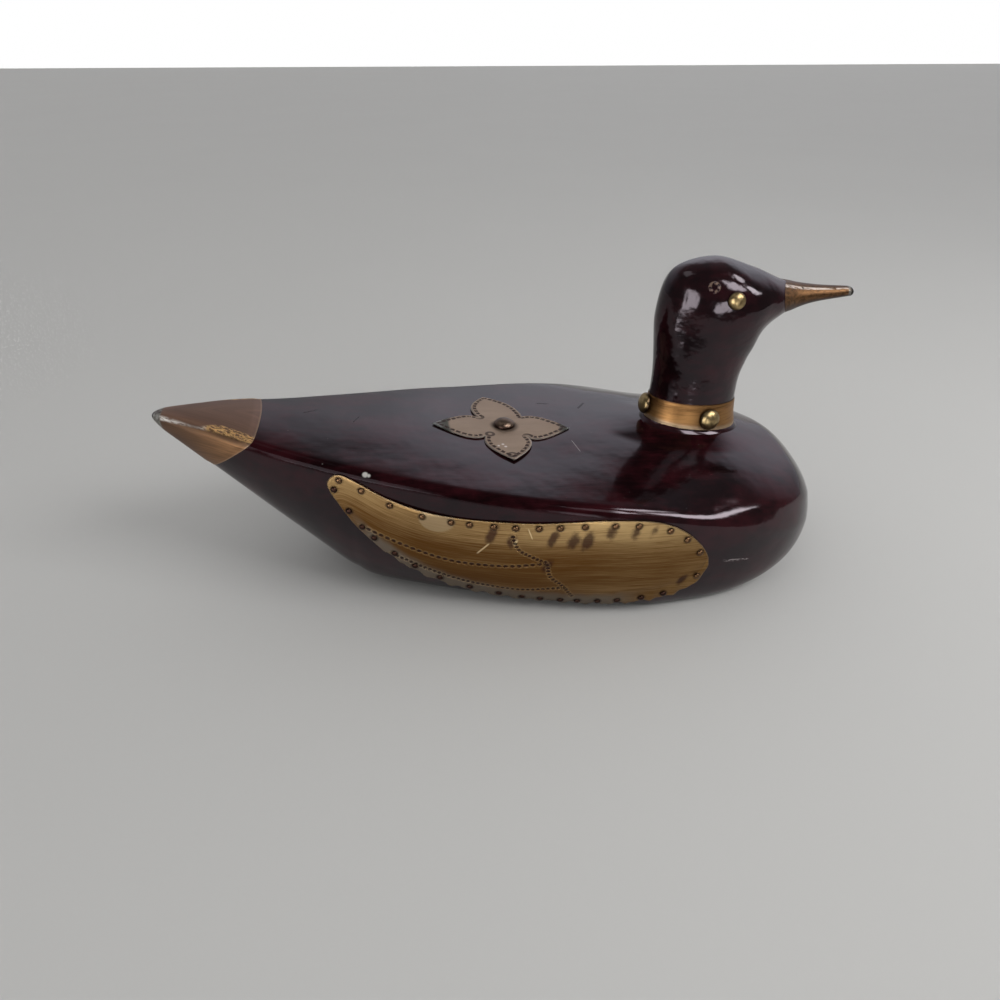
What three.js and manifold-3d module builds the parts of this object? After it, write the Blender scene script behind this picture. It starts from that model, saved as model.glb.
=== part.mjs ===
// A carved wooden decoy of a water bird, dressed with nailed brass sheet.
// Millimetres, +Z up, bill toward +X. Stations are measured forward from the tail tip,
// and the finished group is moved so that the middle of the body stands over the origin.
import * as THREE from "three";
import { mergeVertices } from "three/addons/utils/BufferGeometryUtils.js";
import Module from "manifold-3d";

const wasm = await Module();
wasm.setup();

// Body block, in plan
const BODY_LENGTH = 294;
const MAX_HALF_WIDTH = 64.7;
const BREAST_LENGTH = 103;
const TAIL_TIP_HALF_WIDTH = 3;
const TAIL_TAPER_POWER = 1.58;
const BREAST_PLAN_POWER = 2.65;

// Body block, from the side
const TAIL_TIP_DEPTH = 3.5;
const TAIL_TIP_POINT = 1;
const BACK_EDGE_HEIGHTS = [[0, 80], [50, 71.7], [124, 62.2], [194, 54.4], [BODY_LENGTH, 26.5]];
const CROWN_SETBACK = 29;
const BACK_CROWN_RISES = [
  [0, 0.6], [88, 3.6], [162, 3.8], [BODY_LENGTH - CROWN_SETBACK, 21], [BODY_LENGTH, 20.5],
];
const BREAST_POINT_HEIGHT = 26;
const BREAST_TOP_LENGTH = 19;
const BREAST_UNDERSIDE_LENGTH = 68;
const ROUND_POWER = 2;

// Flat underside and the bilge above it
const BASE_REAR_STATION = 79.5;
const BASE_FRONT_LENGTH = 88;
const BASE_HALF_WIDTH = 52;
const BASE_REAR_POWER = 2 / 3;
const BASE_FRONT_POWER = 2.2;
const BASE_WIDTH_LIMIT = 0.88;
const KEEL_HALF_WIDTH = 1.5;
const KEEL_WIDTH_LIMIT = 0.3;
const KEEL_BLEND = 8;
const TAIL_BILGE_POWER = 2.4;
const BREAST_BILGE_POWER = 3;
const FULL_BILGE_STATION = 177;
const BACK_EDGE_RADIUS = 3;
const BACK_EDGE_LIMIT = 0.35;
const BACK_POWER = 1;
const BREAST_POWER = 2;
const BACK_EDGE_SETBACK = 76;
const ROUND_BREAST_SETBACK = 24;

// Head and neck: two lines seen from the side, [forward, up] from the foot of the neck,
// paired point by point, with the half width of the wood at each pair
const NECK_SETBACK = 59;
const NECK_STATION = BODY_LENGTH - NECK_SETBACK;
const NAPE_LINE = [
  [-26, -6], [-20.2, 5], [-18.3, 22], [-19.8, 51], [-14.5, 69],
  [3.5, 73.8], [21.5, 69], [36, 63], [49.5, 60.4], [65, 58.9],
];
const THROAT_LINE = [
  [28.5, -11], [22.2, 0], [21, 18], [23.5, 29], [25, 34.5],
  [27, 42.7], [32.8, 48.2], [40, 51.5], [49.5, 54.1], [65.6, 56.2],
];
const HEAD_HALF_WIDTHS = [21, 14.5, 13.6, 14.5, 17, 18, 14, 7.8, 4.6, 2];

// Dowel between body and head
const DOWEL_RADIUS = 6;
const DOWEL_LENGTH = 50;

// Brass sheet and the play left under and around pieces
const SHEET = 0.6;
const FIT_GAP = 0.3;
const HOLE_CLEARANCE = 0.3;

// Tail cap and bill cap
const TAIL_CAP_LENGTH = 42.5;
const TAIL_CAP_RAKE = THREE.MathUtils.degToRad(51);
const TAIL_CAP_SKEW = THREE.MathUtils.degToRad(5);
const BILL_CAP_FORWARD = 37.2;
const BILL_CAP_RAKE = THREE.MathUtils.degToRad(-11);
const BILL_CAP_SWEEP = THREE.MathUtils.degToRad(27);

// Collar strip round the foot of the neck
const COLLAR_RIM_HEIGHT = 13;
const COLLAR_RIM_SLOPE = THREE.MathUtils.degToRad(3.5);
const COLLAR_FOOT_HEIGHT = 1.4;
const COLLAR_FOOT_SLOPE = THREE.MathUtils.degToRad(6.5);
const COLLAR_STUDS = { left: 60, back: 180, right: 290 };

// Wing plates: closed outline seen from the side, [station, depth below the back edge], over the top first
const WING_OUTLINE = [
  [72.7, 8], [77, 2.9], [97, 9.2], [114, 12], [150, 9.7], [184, 4.3], [206, 3.2], [219.3, 8.3], [228, 19],
  [225.5, 29.2], [216.5, 38.5], [204, 45], [176, 52.5], [140, 53.7], [112, 48], [88, 32.5], [76.5, 17.5],
];

// Hand-spaced nails round each plate, as shares of its outline's length
const WING_TOP_NAILS = [
  0.021, 0.05, 0.083, 0.119, 0.15, 0.17, 0.196, 0.22, 0.245,
  0.268, 0.295, 0.329, 0.356, 0.397, 0.425, 0.454, 0.499,
];
const WING_LOWER_NAILS = [
  0.549, 0.576, 0.605, 0.628, 0.652, 0.672, 0.696, 0.718, 0.746,
  0.782, 0.82, 0.854, 0.883, 0.914, 0.934, 0.959, 0.991,
];
const WING_NAIL_INSET = 2.3;

// Flower plate on the back, cut by hand: direction, length and bulge of each petal, in turn
const FLOWER_STATION = 149.5;
const PETAL_DIRECTIONS = [-9, 101, 181, 271].map((degrees) => THREE.MathUtils.degToRad(degrees));
const PETAL_LENGTHS = [29.5, 35.5, 32.5, 30.5];
const PETAL_BULGES = [16, 13, 16, 12];
const PETAL_NOTCH_RADIUS = 13.8;

// Domed studs and round-headed nails
const STUD = {
  headRadius: 4.8, headHeight: 3, lift: 0.6, shankRadius: 1, shankLength: 7, pointLength: 2, sides: 12,
};
const EYE_FORWARD = 7.3;
const EYE_UP = 60.5;
const NAIL = {
  headRadius: 1.6, headHeight: 1, lift: 0.3, shankRadius: 0.6, shankLength: 8, pointLength: 1.2, sides: 6,
};
const FUSED_NAIL_SINK = 0.2;

// Facets
const TAIL_STEPS = 8;
const MIDDLE_STEPS = 12;
const BREAST_STEPS = 15;
const BACK_STEPS = 5;
const EDGE_STEPS = 2;
const FLANK_STEPS = 7;
const BASE_STEPS = 2;
const HEAD_STEPS = 30;
const HEAD_SIDES = 18;
const DOWEL_SIDES = 16;
const DOME_STEPS = 3;
const NAIL_DOME_STEPS = 2;
const PETAL_STEPS = 6;
const WING_OUTLINE_STEPS = 48;
const HOLE_SIDES = 6;

// Reach of cutting blocks and sight lines, past the whole bird, and the distance that joins two corners
const REACH = 2 * BODY_LENGTH;
const SAME_CORNER = 1e-4;

const lacquer = new THREE.MeshStandardMaterial({ color: 0x2a0f10, roughness: 0.2, metalness: 0 });
const bareWood = new THREE.MeshStandardMaterial({ color: 0xb48a58, roughness: 0.7, metalness: 0 });
const brass = new THREE.MeshStandardMaterial({ color: 0x9a7a42, roughness: 0.45, metalness: 1 });
const brownBrass = new THREE.MeshStandardMaterial({ color: 0x80552c, roughness: 0.4, metalness: 1 });

// Smooth curve through [station, value] points: each slope is that of the parabola through its neighbours
function through(points, station) {
  const last = points.length - 1;
  const chord = (i) => (points[i + 1][1] - points[i][1]) / (points[i + 1][0] - points[i][0]);
  const span = (i) => points[i + 1][0] - points[i][0];
  const slope = (i) => {
    if (i === 0) return chord(0) + (chord(0) - slope(1)) / 2;
    if (i === last) return chord(last - 1) + (chord(last - 1) - slope(last - 1)) / 2;
    return (chord(i - 1) * span(i) + chord(i) * span(i - 1)) / (span(i - 1) + span(i));
  };
  let i = 0;
  while (i < last - 1 && station > points[i + 1][0]) i += 1;
  const t = (station - points[i][0]) / span(i);
  const rise = points[i + 1][1] - points[i][1];
  const ease = t * t * (3 - 2 * t);
  const leave = t * (1 - t) * (1 - t) * slope(i) * span(i);
  const arrive = t * t * (t - 1) * slope(i + 1) * span(i);
  return points[i][1] + rise * ease + leave + arrive;
}

// Superellipse over the last stretch of the body, from 1 where it starts to 0 at the front of the breast
function closing(station, length, power) {
  const x = THREE.MathUtils.clamp(1 - (BODY_LENGTH - station) / length, 0, 1);
  return (1 - x ** power) ** (1 / power);
}

// Straight rise from the flat base to the tail tip, with a short parabola where the two meet
function tailUnderside(station) {
  const slope = (BACK_EDGE_HEIGHTS[0][1] - TAIL_TIP_DEPTH) / BASE_REAR_STATION;
  const ahead = BASE_REAR_STATION - station;
  if (ahead > KEEL_BLEND) return slope * ahead;
  return (slope * Math.max(0, ahead + KEEL_BLEND) ** 2) / (4 * KEEL_BLEND);
}

// Half width of the back edge, heights of edge, crown and underside, and half width of the flat base
function bodyRails(station) {
  const behind = Math.max(0, 1 - station / (BODY_LENGTH - BREAST_LENGTH));
  const taper = 1 - behind ** TAIL_TAPER_POWER;
  const plan = TAIL_TIP_HALF_WIDTH + (MAX_HALF_WIDTH - TAIL_TIP_HALF_WIDTH) * taper;
  const halfWidth = plan * closing(station, BREAST_LENGTH, BREAST_PLAN_POWER);
  const top = closing(station, BREAST_TOP_LENGTH, ROUND_POWER);
  const edgeLine = through(BACK_EDGE_HEIGHTS, station);
  const crownLine = edgeLine + through(BACK_CROWN_RISES, station);
  const toBreast = (height) => BREAST_POINT_HEIGHT + (height - BREAST_POINT_HEIGHT) * top;
  const baseRearLength = BODY_LENGTH - BASE_FRONT_LENGTH - BASE_REAR_STATION;
  const rear = THREE.MathUtils.clamp((station - BASE_REAR_STATION) / baseRearLength, 0, 1);
  const front = closing(station, BASE_FRONT_LENGTH, BASE_FRONT_POWER);
  const base = Math.min(BASE_HALF_WIDTH * rear ** BASE_REAR_POWER * front, BASE_WIDTH_LIMIT * halfWidth);
  const keel = Math.min(KEEL_HALF_WIDTH, KEEL_WIDTH_LIMIT * halfWidth);
  const breastLift = 1 - closing(station, BREAST_UNDERSIDE_LENGTH, ROUND_POWER);
  const fullness = Math.min(1, station / FULL_BILGE_STATION);
  return {
    halfWidth,
    edge: toBreast(edgeLine),
    crown: toBreast(crownLine),
    base: Math.max(base, keel),
    underside: tailUnderside(station) + BREAST_POINT_HEIGHT * breastLift,
    bilge: TAIL_BILGE_POWER + (BREAST_BILGE_POWER - TAIL_BILGE_POWER) * fullness,
  };
}

// Left half of a section of the body, from the crown round the back edge and bilge to the middle of the base
function bodyHalfSection(station) {
  const rail = bodyRails(station);
  const depth = rail.edge - rail.underside;
  const round = Math.min(BACK_EDGE_RADIUS, BACK_EDGE_LIMIT * rail.halfWidth, BACK_EDGE_LIMIT * depth);
  const fade = THREE.MathUtils.smoothstep(
    station, BODY_LENGTH - BACK_EDGE_SETBACK, BODY_LENGTH - ROUND_BREAST_SETBACK);
  const power = THREE.MathUtils.lerp(BACK_POWER, BREAST_POWER, fade);
  const back = (q) => new THREE.Vector2(
    rail.halfWidth * q, rail.edge + (rail.crown - rail.edge) * (1 - q * q) ** (1 / power));
  const flank = (angle) => new THREE.Vector2(
    rail.base + (rail.halfWidth - rail.base) * Math.max(0, Math.cos(angle)) ** (2 / rail.bilge),
    rail.underside + depth * (1 - Math.sin(angle) ** (2 / rail.bilge)));
  const backEnd = 1 - round / rail.halfWidth;
  const flankStart = Math.asin((round / depth) ** (rail.bilge / 2));
  const edgeRound = new THREE.QuadraticBezierCurve(
    back(backEnd), new THREE.Vector2(rail.halfWidth, rail.edge), flank(flankStart));
  const points = [];
  for (let i = 0; i < BACK_STEPS; i += 1) points.push(back((backEnd * i) / BACK_STEPS));
  points.push(...edgeRound.getPoints(EDGE_STEPS));
  for (let i = 1; i <= FLANK_STEPS; i += 1) {
    points.push(flank(flankStart + ((Math.PI / 2 - flankStart) * i) / FLANK_STEPS));
  }
  for (let i = 1; i <= BASE_STEPS; i += 1) {
    points.push(new THREE.Vector2(rail.base * (1 - i / BASE_STEPS), rail.underside));
  }
  return points;
}

// Stations of the body's sections, close together toward the round breast
function bodyStations() {
  const stations = [];
  for (let i = 0; i < TAIL_STEPS; i += 1) stations.push((BASE_REAR_STATION * i) / TAIL_STEPS);
  const widest = BODY_LENGTH - BREAST_LENGTH;
  const middle = widest - BASE_REAR_STATION;
  for (let i = 0; i < MIDDLE_STEPS; i += 1) stations.push(BASE_REAR_STATION + (middle * i) / MIDDLE_STEPS);
  for (let i = 0; i < BREAST_STEPS; i += 1) {
    stations.push(widest + BREAST_LENGTH * Math.sin((Math.PI / 2) * (i / BREAST_STEPS)));
  }
  return stations;
}

// Closed surface through rings of points, with a fan to a point at each end
function loft(rings, firstPoint, lastPoint) {
  const sides = rings[0].length;
  const points = [...rings.flat(), firstPoint, lastPoint];
  const first = points.length - 2;
  const last = points.length - 1;
  const indices = [];
  for (let i = 0; i < sides; i += 1) {
    const next = (i + 1) % sides;
    indices.push(first, i, next);
    for (let ring = 0; ring < rings.length - 1; ring += 1) {
      const a = ring * sides;
      const b = a + sides;
      indices.push(a + i, b + i, a + next, a + next, b + i, b + next);
    }
    const end = (rings.length - 1) * sides;
    indices.push(last, end + next, end + i);
  }
  const geometry = new THREE.BufferGeometry().setFromPoints(points);
  geometry.setIndex(indices);
  return geometry;
}

function bodySurface() {
  const rings = bodyStations().map((station) => {
    const half = bodyHalfSection(station);
    const left = half.map((p) => new THREE.Vector3(station, p.x, p.y));
    const right = half.slice(1, -1).reverse().map((p) => new THREE.Vector3(station, -p.x, p.y));
    return [...left, ...right];
  });
  const tail = new THREE.Vector3(-TAIL_TIP_POINT, 0, BACK_EDGE_HEIGHTS[0][1] - TAIL_TIP_DEPTH / 2);
  return loft(rings, tail, new THREE.Vector3(BODY_LENGTH, 0, BREAST_POINT_HEIGHT));
}

// Ellipses spanned between the nape line and the throat line, from inside the body to the tip of the bill
function headSurface(seatHeight) {
  const line = (points) => new THREE.SplineCurve(points.map(([x, z]) => new THREE.Vector2(x, z)));
  const widths = HEAD_HALF_WIDTHS.map((width, i) => [i / (HEAD_HALF_WIDTHS.length - 1), width]);
  const nape = line(NAPE_LINE);
  const throat = line(THROAT_LINE);
  const place = (x, y, z) => new THREE.Vector3(NECK_STATION + x, y, seatHeight + z);
  const rings = [];
  for (let i = 0; i <= HEAD_STEPS; i += 1) {
    const u = i / HEAD_STEPS;
    const upper = nape.getPoint(u);
    const middle = upper.clone().add(throat.getPoint(u)).multiplyScalar(0.5);
    const radius = upper.clone().sub(middle);
    const halfWidth = through(widths, u);
    const ring = [];
    for (let k = 0; k < HEAD_SIDES; k += 1) {
      const angle = (2 * Math.PI * k) / HEAD_SIDES;
      const p = middle.clone().addScaledVector(radius, Math.cos(angle));
      ring.push(place(p.x, halfWidth * Math.sin(angle), p.y));
    }
    rings.push(ring);
  }
  const ends = [0, 1].map((u) => nape.getPoint(u).add(throat.getPoint(u)).multiplyScalar(0.5));
  return loft(rings, ...ends.map((p) => place(p.x, 0, p.y)));
}

// The same surface moved out along its normals
function inflate(geometry, distance) {
  const grown = geometry.clone();
  grown.computeVertexNormals();
  const position = grown.attributes.position;
  const normal = grown.attributes.normal;
  const point = new THREE.Vector3();
  const out = new THREE.Vector3();
  for (let i = 0; i < position.count; i += 1) {
    out.fromBufferAttribute(normal, i);
    point.fromBufferAttribute(position, i).addScaledVector(out, distance);
    position.setXYZ(i, point.x, point.y, point.z);
  }
  return grown;
}

// Closed body for cutting and joining, from a geometry without seams or needles
function solid(geometry) {
  const bare = geometry.clone();
  bare.deleteAttribute("normal");
  bare.deleteAttribute("uv");
  const merged = mergeVertices(bare, SAME_CORNER);
  const index = merged.index.array;
  const triangles = [];
  for (let i = 0; i < index.length; i += 3) {
    const [a, b, c] = index.slice(i, i + 3);
    if (a !== b && b !== c && c !== a) triangles.push(a, b, c);
  }
  return new wasm.Manifold(new wasm.Mesh({
    numProp: 3,
    vertProperties: new Float32Array(merged.attributes.position.array),
    triVerts: new Uint32Array(triangles),
  }));
}

function geometryOf(manifold) {
  const mesh = manifold.getMesh();
  const geometry = new THREE.BufferGeometry();
  geometry.setAttribute("position", new THREE.BufferAttribute(mesh.vertProperties, 3));
  geometry.setIndex(new THREE.BufferAttribute(mesh.triVerts, 1));
  geometry.computeVertexNormals();
  return geometry;
}

// Everything on one side of a plane through a point in the middle plane, raked and then skewed
function sideOfPlane(direction, rake, x, z, skew = 0) {
  const box = new THREE.BoxGeometry(REACH, REACH, REACH);
  box.translate(...direction.clone().multiplyScalar(REACH / 2).toArray());
  box.rotateY(rake);
  box.rotateZ(skew);
  box.translate(x, 0, z);
  return solid(box);
}

// Where a straight line first meets a surface, with the way the surface faces there
function seat(geometry, from, toward) {
  const target = new THREE.Mesh(geometry);
  const hit = new THREE.Raycaster(from, toward.clone().normalize()).intersectObject(target)[0];
  return { point: hit.point, normal: hit.face.normal };
}

// Round-headed tack about the Y axis, its head above 0 and its shank below
function tackGeometry(tack, domeSteps) {
  const profile = [
    new THREE.Vector2(0, -tack.shankLength),
    new THREE.Vector2(tack.shankRadius, tack.pointLength - tack.shankLength),
    new THREE.Vector2(tack.shankRadius, 0),
  ];
  profile.push(...domeProfile(tack, domeSteps));
  return new THREE.LatheGeometry(profile, tack.sides);
}

function domeProfile(tack, domeSteps) {
  const profile = [];
  for (let i = 0; i < domeSteps; i += 1) {
    const angle = (Math.PI / 2) * (i / domeSteps);
    profile.push(new THREE.Vector2(tack.headRadius * Math.cos(angle), tack.headHeight * Math.sin(angle)));
  }
  profile.push(new THREE.Vector2(0, tack.headHeight));
  return profile;
}

// Turn and move a geometry made about the Y axis so that it stands on a seat
function standOn(geometry, place, lift) {
  const turn = new THREE.Quaternion().setFromUnitVectors(new THREE.Vector3(0, 1, 0), place.normal);
  geometry.applyQuaternion(turn);
  geometry.translate(...place.point.clone().addScaledVector(place.normal, lift).toArray());
  return geometry;
}

function tackHole(tack, place) {
  const radius = tack.shankRadius + HOLE_CLEARANCE;
  const depth = tack.shankLength + HOLE_CLEARANCE;
  const hole = new THREE.CylinderGeometry(radius, radius, 2 * depth, HOLE_SIDES);
  return solid(standOn(hole, place, 0));
}

function drill(piece, tack, places) {
  return places.reduce((left, place) => left.subtract(tackHole(tack, place)), piece);
}

// Wing outline as a closed curve in the plane of station and height
function wingCurve() {
  const points = WING_OUTLINE.map(([station, depth]) => new THREE.Vector3(
    station, through(BACK_EDGE_HEIGHTS, station) - depth, 0));
  return new THREE.CatmullRomCurve3(points, true, "centripetal");
}

function wingRegion(side) {
  const outline = wingCurve().getPoints(WING_OUTLINE_STEPS).map((p) => new THREE.Vector2(p.x, p.y));
  const shape = new THREE.Shape(outline);
  const block = new THREE.ExtrudeGeometry(shape, { depth: REACH, bevelEnabled: false });
  block.rotateX(Math.PI / 2);
  if (side > 0) block.translate(0, REACH, 0);
  return solid(block);
}

// Nail seats at shares of the outline, a little inside its edge
function wingNailSeats(surface, side, shares) {
  const curve = wingCurve();
  return shares.map((share) => {
    const p = curve.getPointAt(share);
    const along = curve.getTangentAt(share);
    const x = p.x + along.y * WING_NAIL_INSET;
    const z = p.y - along.x * WING_NAIL_INSET;
    return seat(surface, new THREE.Vector3(x, side * REACH, z), new THREE.Vector3(0, -side, 0));
  });
}

// Leaf-shaped petals with a notch halfway between each two, in plan
function flowerRegion(height) {
  const shape = new THREE.Shape();
  const polar = (radius, angle) => [radius * Math.cos(angle), radius * Math.sin(angle)];
  const onward = [...PETAL_DIRECTIONS.slice(1), PETAL_DIRECTIONS[0] + 2 * Math.PI];
  const notches = PETAL_DIRECTIONS.map((angle, i) => (angle + onward[i]) / 2);
  shape.moveTo(...polar(PETAL_NOTCH_RADIUS, notches.at(-1)));
  PETAL_DIRECTIONS.forEach((angle, i) => {
    const shoulder = Math.atan2(PETAL_BULGES[i], PETAL_LENGTHS[i] / 2);
    const shoulderRadius = Math.hypot(PETAL_BULGES[i], PETAL_LENGTHS[i] / 2);
    const tip = polar(PETAL_LENGTHS[i], angle);
    const notch = polar(PETAL_NOTCH_RADIUS, notches[i]);
    shape.quadraticCurveTo(...polar(shoulderRadius, angle - shoulder), ...tip);
    shape.quadraticCurveTo(...polar(shoulderRadius, angle + shoulder), ...notch);
  });
  const cut = { depth: height, bevelEnabled: false, curveSegments: PETAL_STEPS };
  const block = new THREE.ExtrudeGeometry(shape, cut);
  block.translate(FLOWER_STATION, 0, height / 2);
  return solid(block);
}

const decoy = new THREE.Group();

function addPiece(name, geometry, material) {
  const mesh = new THREE.Mesh(geometry, material);
  mesh.name = name;
  decoy.add(mesh);
}

function addTack(name, tack, domeSteps, place) {
  addPiece(name, standOn(tackGeometry(tack, domeSteps), place, tack.lift), brass);
}

// Wood blanks and the two faces of the sheet that lies over them
const seatHeight = bodyRails(NECK_STATION).crown;
const flowerHeight = bodyRails(FLOWER_STATION).crown;
const bodyWood = bodySurface();
const headWood = headSurface(seatHeight);
const bodySheetOuter = inflate(bodyWood, FIT_GAP + SHEET);
const headSheetOuter = inflate(headWood, FIT_GAP + SHEET);
const bodySheetInner = solid(inflate(bodyWood, FIT_GAP));
const headSheetInner = solid(inflate(headWood, FIT_GAP));
const bodySkin = (region) => solid(bodySheetOuter).intersect(region).subtract(bodySheetInner);
const headSkin = (region) => solid(headSheetOuter).intersect(region).subtract(headSheetInner);

// Seats of every stud and nail on the outer face of the sheet, or on bare wood for the eyes
const down = new THREE.Vector3(0, 0, -1);
const flowerSeat = seat(bodySheetOuter, new THREE.Vector3(FLOWER_STATION, 0, REACH), down);
const neckRadius = (THROAT_LINE[1][0] - NAPE_LINE[1][0]) / 2;
const collarSeats = Object.entries(COLLAR_STUDS).map(([name, degrees]) => {
  const angle = THREE.MathUtils.degToRad(degrees);
  const out = new THREE.Vector3(Math.cos(angle), Math.sin(angle), 0);
  const forward = neckRadius * out.x;
  const collarFoot = COLLAR_FOOT_HEIGHT - forward * Math.tan(COLLAR_FOOT_SLOPE);
  const collarRim = COLLAR_RIM_HEIGHT - forward * Math.tan(COLLAR_RIM_SLOPE);
  const middle = seatHeight + (collarFoot + collarRim) / 2;
  const from = new THREE.Vector3(NECK_STATION, 0, middle).addScaledVector(out, REACH);
  return { name, place: seat(headSheetOuter, from, out.clone().negate()) };
});
const sides = { right: -1, left: 1 };
const eyeSeats = Object.entries(sides).map(([name, side]) => {
  const from = new THREE.Vector3(NECK_STATION + EYE_FORWARD, side * REACH, seatHeight + EYE_UP);
  return { name, place: seat(headWood, from, new THREE.Vector3(0, -side, 0)) };
});
const wingSeats = Object.entries(sides).map(([name, side]) => {
  const ownNails = wingNailSeats(bodySheetOuter, side, WING_TOP_NAILS);
  const fusedNails = wingNailSeats(bodySheetOuter, side, WING_LOWER_NAILS);
  return { name, side, ownNails, fusedNails };
});

// Dowel and its socket
const dowelBlank = (clearance) => {
  const radius = DOWEL_RADIUS + clearance;
  const dowel = new THREE.CylinderGeometry(radius, radius, DOWEL_LENGTH + 2 * clearance, DOWEL_SIDES);
  dowel.rotateX(Math.PI / 2);
  dowel.translate(NECK_STATION, 0, seatHeight);
  return dowel;
};
const socket = solid(dowelBlank(FIT_GAP));
addPiece("neck_dowel", dowelBlank(0), bareWood);

// Body, drilled for the dowel, the flower's stud and the nails
let body = drill(solid(bodyWood).subtract(socket), STUD, [flowerSeat]);
wingSeats.forEach((wing) => {
  body = drill(body, NAIL, wing.ownNails);
});
addPiece("body", geometryOf(body), lacquer);

// Head, coped to the back and drilled for the dowel, the collar's studs and the eyes
const neckSeats = collarSeats.map((stud) => stud.place);
const copedHead = solid(headWood).subtract(bodySheetInner).subtract(socket);
const head = drill(copedHead, STUD, [...neckSeats, ...eyeSeats.map((eye) => eye.place)]);
addPiece("head", geometryOf(head), lacquer);

// Caps on tail and bill
const tailEdge = through(BACK_EDGE_HEIGHTS, TAIL_CAP_LENGTH);
const tailward = new THREE.Vector3(-1, 0, 0);
const tailRegion = sideOfPlane(tailward, TAIL_CAP_RAKE, TAIL_CAP_LENGTH, tailEdge, TAIL_CAP_SKEW);
addPiece("tail_cap", geometryOf(bodySkin(tailRegion)), brownBrass);
const billRoot = NECK_STATION + BILL_CAP_FORWARD;
const billHeight = seatHeight + (NAPE_LINE.at(-1)[1] + THROAT_LINE.at(-1)[1]) / 2;
const billward = new THREE.Vector3(1, 0, 0);
const [leftBill, rightBill] = [1, -1].map((side) => (
  sideOfPlane(billward, BILL_CAP_RAKE, billRoot, billHeight, side * BILL_CAP_SWEEP)
));
addPiece("bill_cap", geometryOf(headSkin(leftBill.add(rightBill))), brownBrass);

// Collar between two sloping planes, clear of the back of the body
const rimHeight = seatHeight + COLLAR_RIM_HEIGHT;
const footHeight = seatHeight + COLLAR_FOOT_HEIGHT;
const up = new THREE.Vector3(0, 0, 1);
const underRim = sideOfPlane(down, COLLAR_RIM_SLOPE, NECK_STATION, rimHeight);
const aboveFoot = sideOfPlane(up, COLLAR_FOOT_SLOPE, NECK_STATION, footHeight);
const collar = headSkin(underRim.intersect(aboveFoot)).subtract(bodySheetInner);
addPiece("neck_collar", geometryOf(drill(collar, STUD, neckSeats)), brass);
collarSeats.forEach((stud) => addTack(`collar_stud_${stud.name}`, STUD, DOME_STEPS, stud.place));
eyeSeats.forEach((eye) => addTack(`${eye.name}_eye_stud`, STUD, DOME_STEPS, eye.place));

// Flower and its stud
const flower = drill(bodySkin(flowerRegion(flowerHeight)), STUD, [flowerSeat]);
addPiece("flower_plate", geometryOf(flower), brass);
addTack("flower_stud", STUD, DOME_STEPS, flowerSeat);

// Wing plates: the nails of the top edge are pieces of their own, those below are one with the plate
wingSeats.forEach((wing) => {
  let plate = drill(bodySkin(wingRegion(wing.side)), NAIL, wing.ownNails);
  wing.fusedNails.forEach((place) => {
    const foot = new THREE.Vector2(0, 0);
    const dome = new THREE.LatheGeometry([foot, ...domeProfile(NAIL, NAIL_DOME_STEPS)], NAIL.sides);
    plate = plate.add(solid(standOn(dome, place, -FUSED_NAIL_SINK)));
  });
  addPiece(`${wing.name}_wing_plate`, geometryOf(plate), brass);
  wing.ownNails.forEach((place, i) => {
    const number = String(i + 1).padStart(2, "0");
    addTack(`${wing.name}_wing_nail_${number}`, NAIL, NAIL_DOME_STEPS, place);
  });
});

decoy.position.x = -BODY_LENGTH / 2;

export default decoy;
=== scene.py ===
"""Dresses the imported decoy: lacquered wood, aged brass sheet, nails and studs, on a plain stage."""

import math
from functools import reduce
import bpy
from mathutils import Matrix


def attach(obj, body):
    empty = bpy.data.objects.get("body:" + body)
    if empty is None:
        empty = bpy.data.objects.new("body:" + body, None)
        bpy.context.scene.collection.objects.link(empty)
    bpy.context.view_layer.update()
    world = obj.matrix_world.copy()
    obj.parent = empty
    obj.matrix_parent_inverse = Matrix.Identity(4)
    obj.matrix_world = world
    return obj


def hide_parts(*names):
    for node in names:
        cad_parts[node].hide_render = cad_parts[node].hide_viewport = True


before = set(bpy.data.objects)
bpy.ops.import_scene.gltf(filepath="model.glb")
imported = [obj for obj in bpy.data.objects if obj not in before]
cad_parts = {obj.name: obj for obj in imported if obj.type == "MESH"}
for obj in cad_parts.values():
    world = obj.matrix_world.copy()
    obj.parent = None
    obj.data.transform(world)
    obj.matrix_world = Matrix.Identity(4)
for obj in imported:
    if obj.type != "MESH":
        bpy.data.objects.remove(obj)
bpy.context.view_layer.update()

from types import SimpleNamespace

import bpy
import numpy as np

bl_info = {
    "name": "Brass-dressed decoy",
    "version": (1, 0, 0),
    "blender": (4, 5, 0),
    "location": "View3D > Sidebar > Decoy",
    "description": "Dresses the packed decoy in lacquered wood, aged brass sheet, nails and studs",
    "category": "Object",
}

MM = 0.001
TURN = 2.0 * math.pi

# Carved body, in millimetres, as the frame has it: stations run forward from the tail tip
BODY_LENGTH = 294.0
HALF_LENGTH = BODY_LENGTH / 2.0
MAX_HALF_WIDTH = 64.7
BREAST_LENGTH = 103.0
TAIL_TIP_HALF_WIDTH = 3.0
TAIL_TAPER_POWER = 1.58
BREAST_PLAN_POWER = 2.65
TAIL_TIP_DEPTH = 3.5
TAIL_NOSE = (-0.6, 5.5)
TAIL_NOSE_POWER = 2.6
BACK_EDGE_HEIGHTS = ((0.0, 79.0), (25.0, 76.8), (50.0, 71.9), (124.0, 62.2), (194.0, 54.4), (294.0, 26.5))
BACK_CROWN_RISES = ((0.0, 0.6), (88.0, 3.6), (162.0, 3.8), (265.0, 21.0), (294.0, 20.5))
BREAST_POINT_HEIGHT = 26.0
BREAST_TOP_LENGTH = 19.0
BREAST_UNDERSIDE_LENGTH = 68.0
ROUND_POWER = 2.0
BASE_REAR_STATION = 79.5
BASE_FRONT_LENGTH = 88.0
BASE_HALF_WIDTH = 52.0
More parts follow.
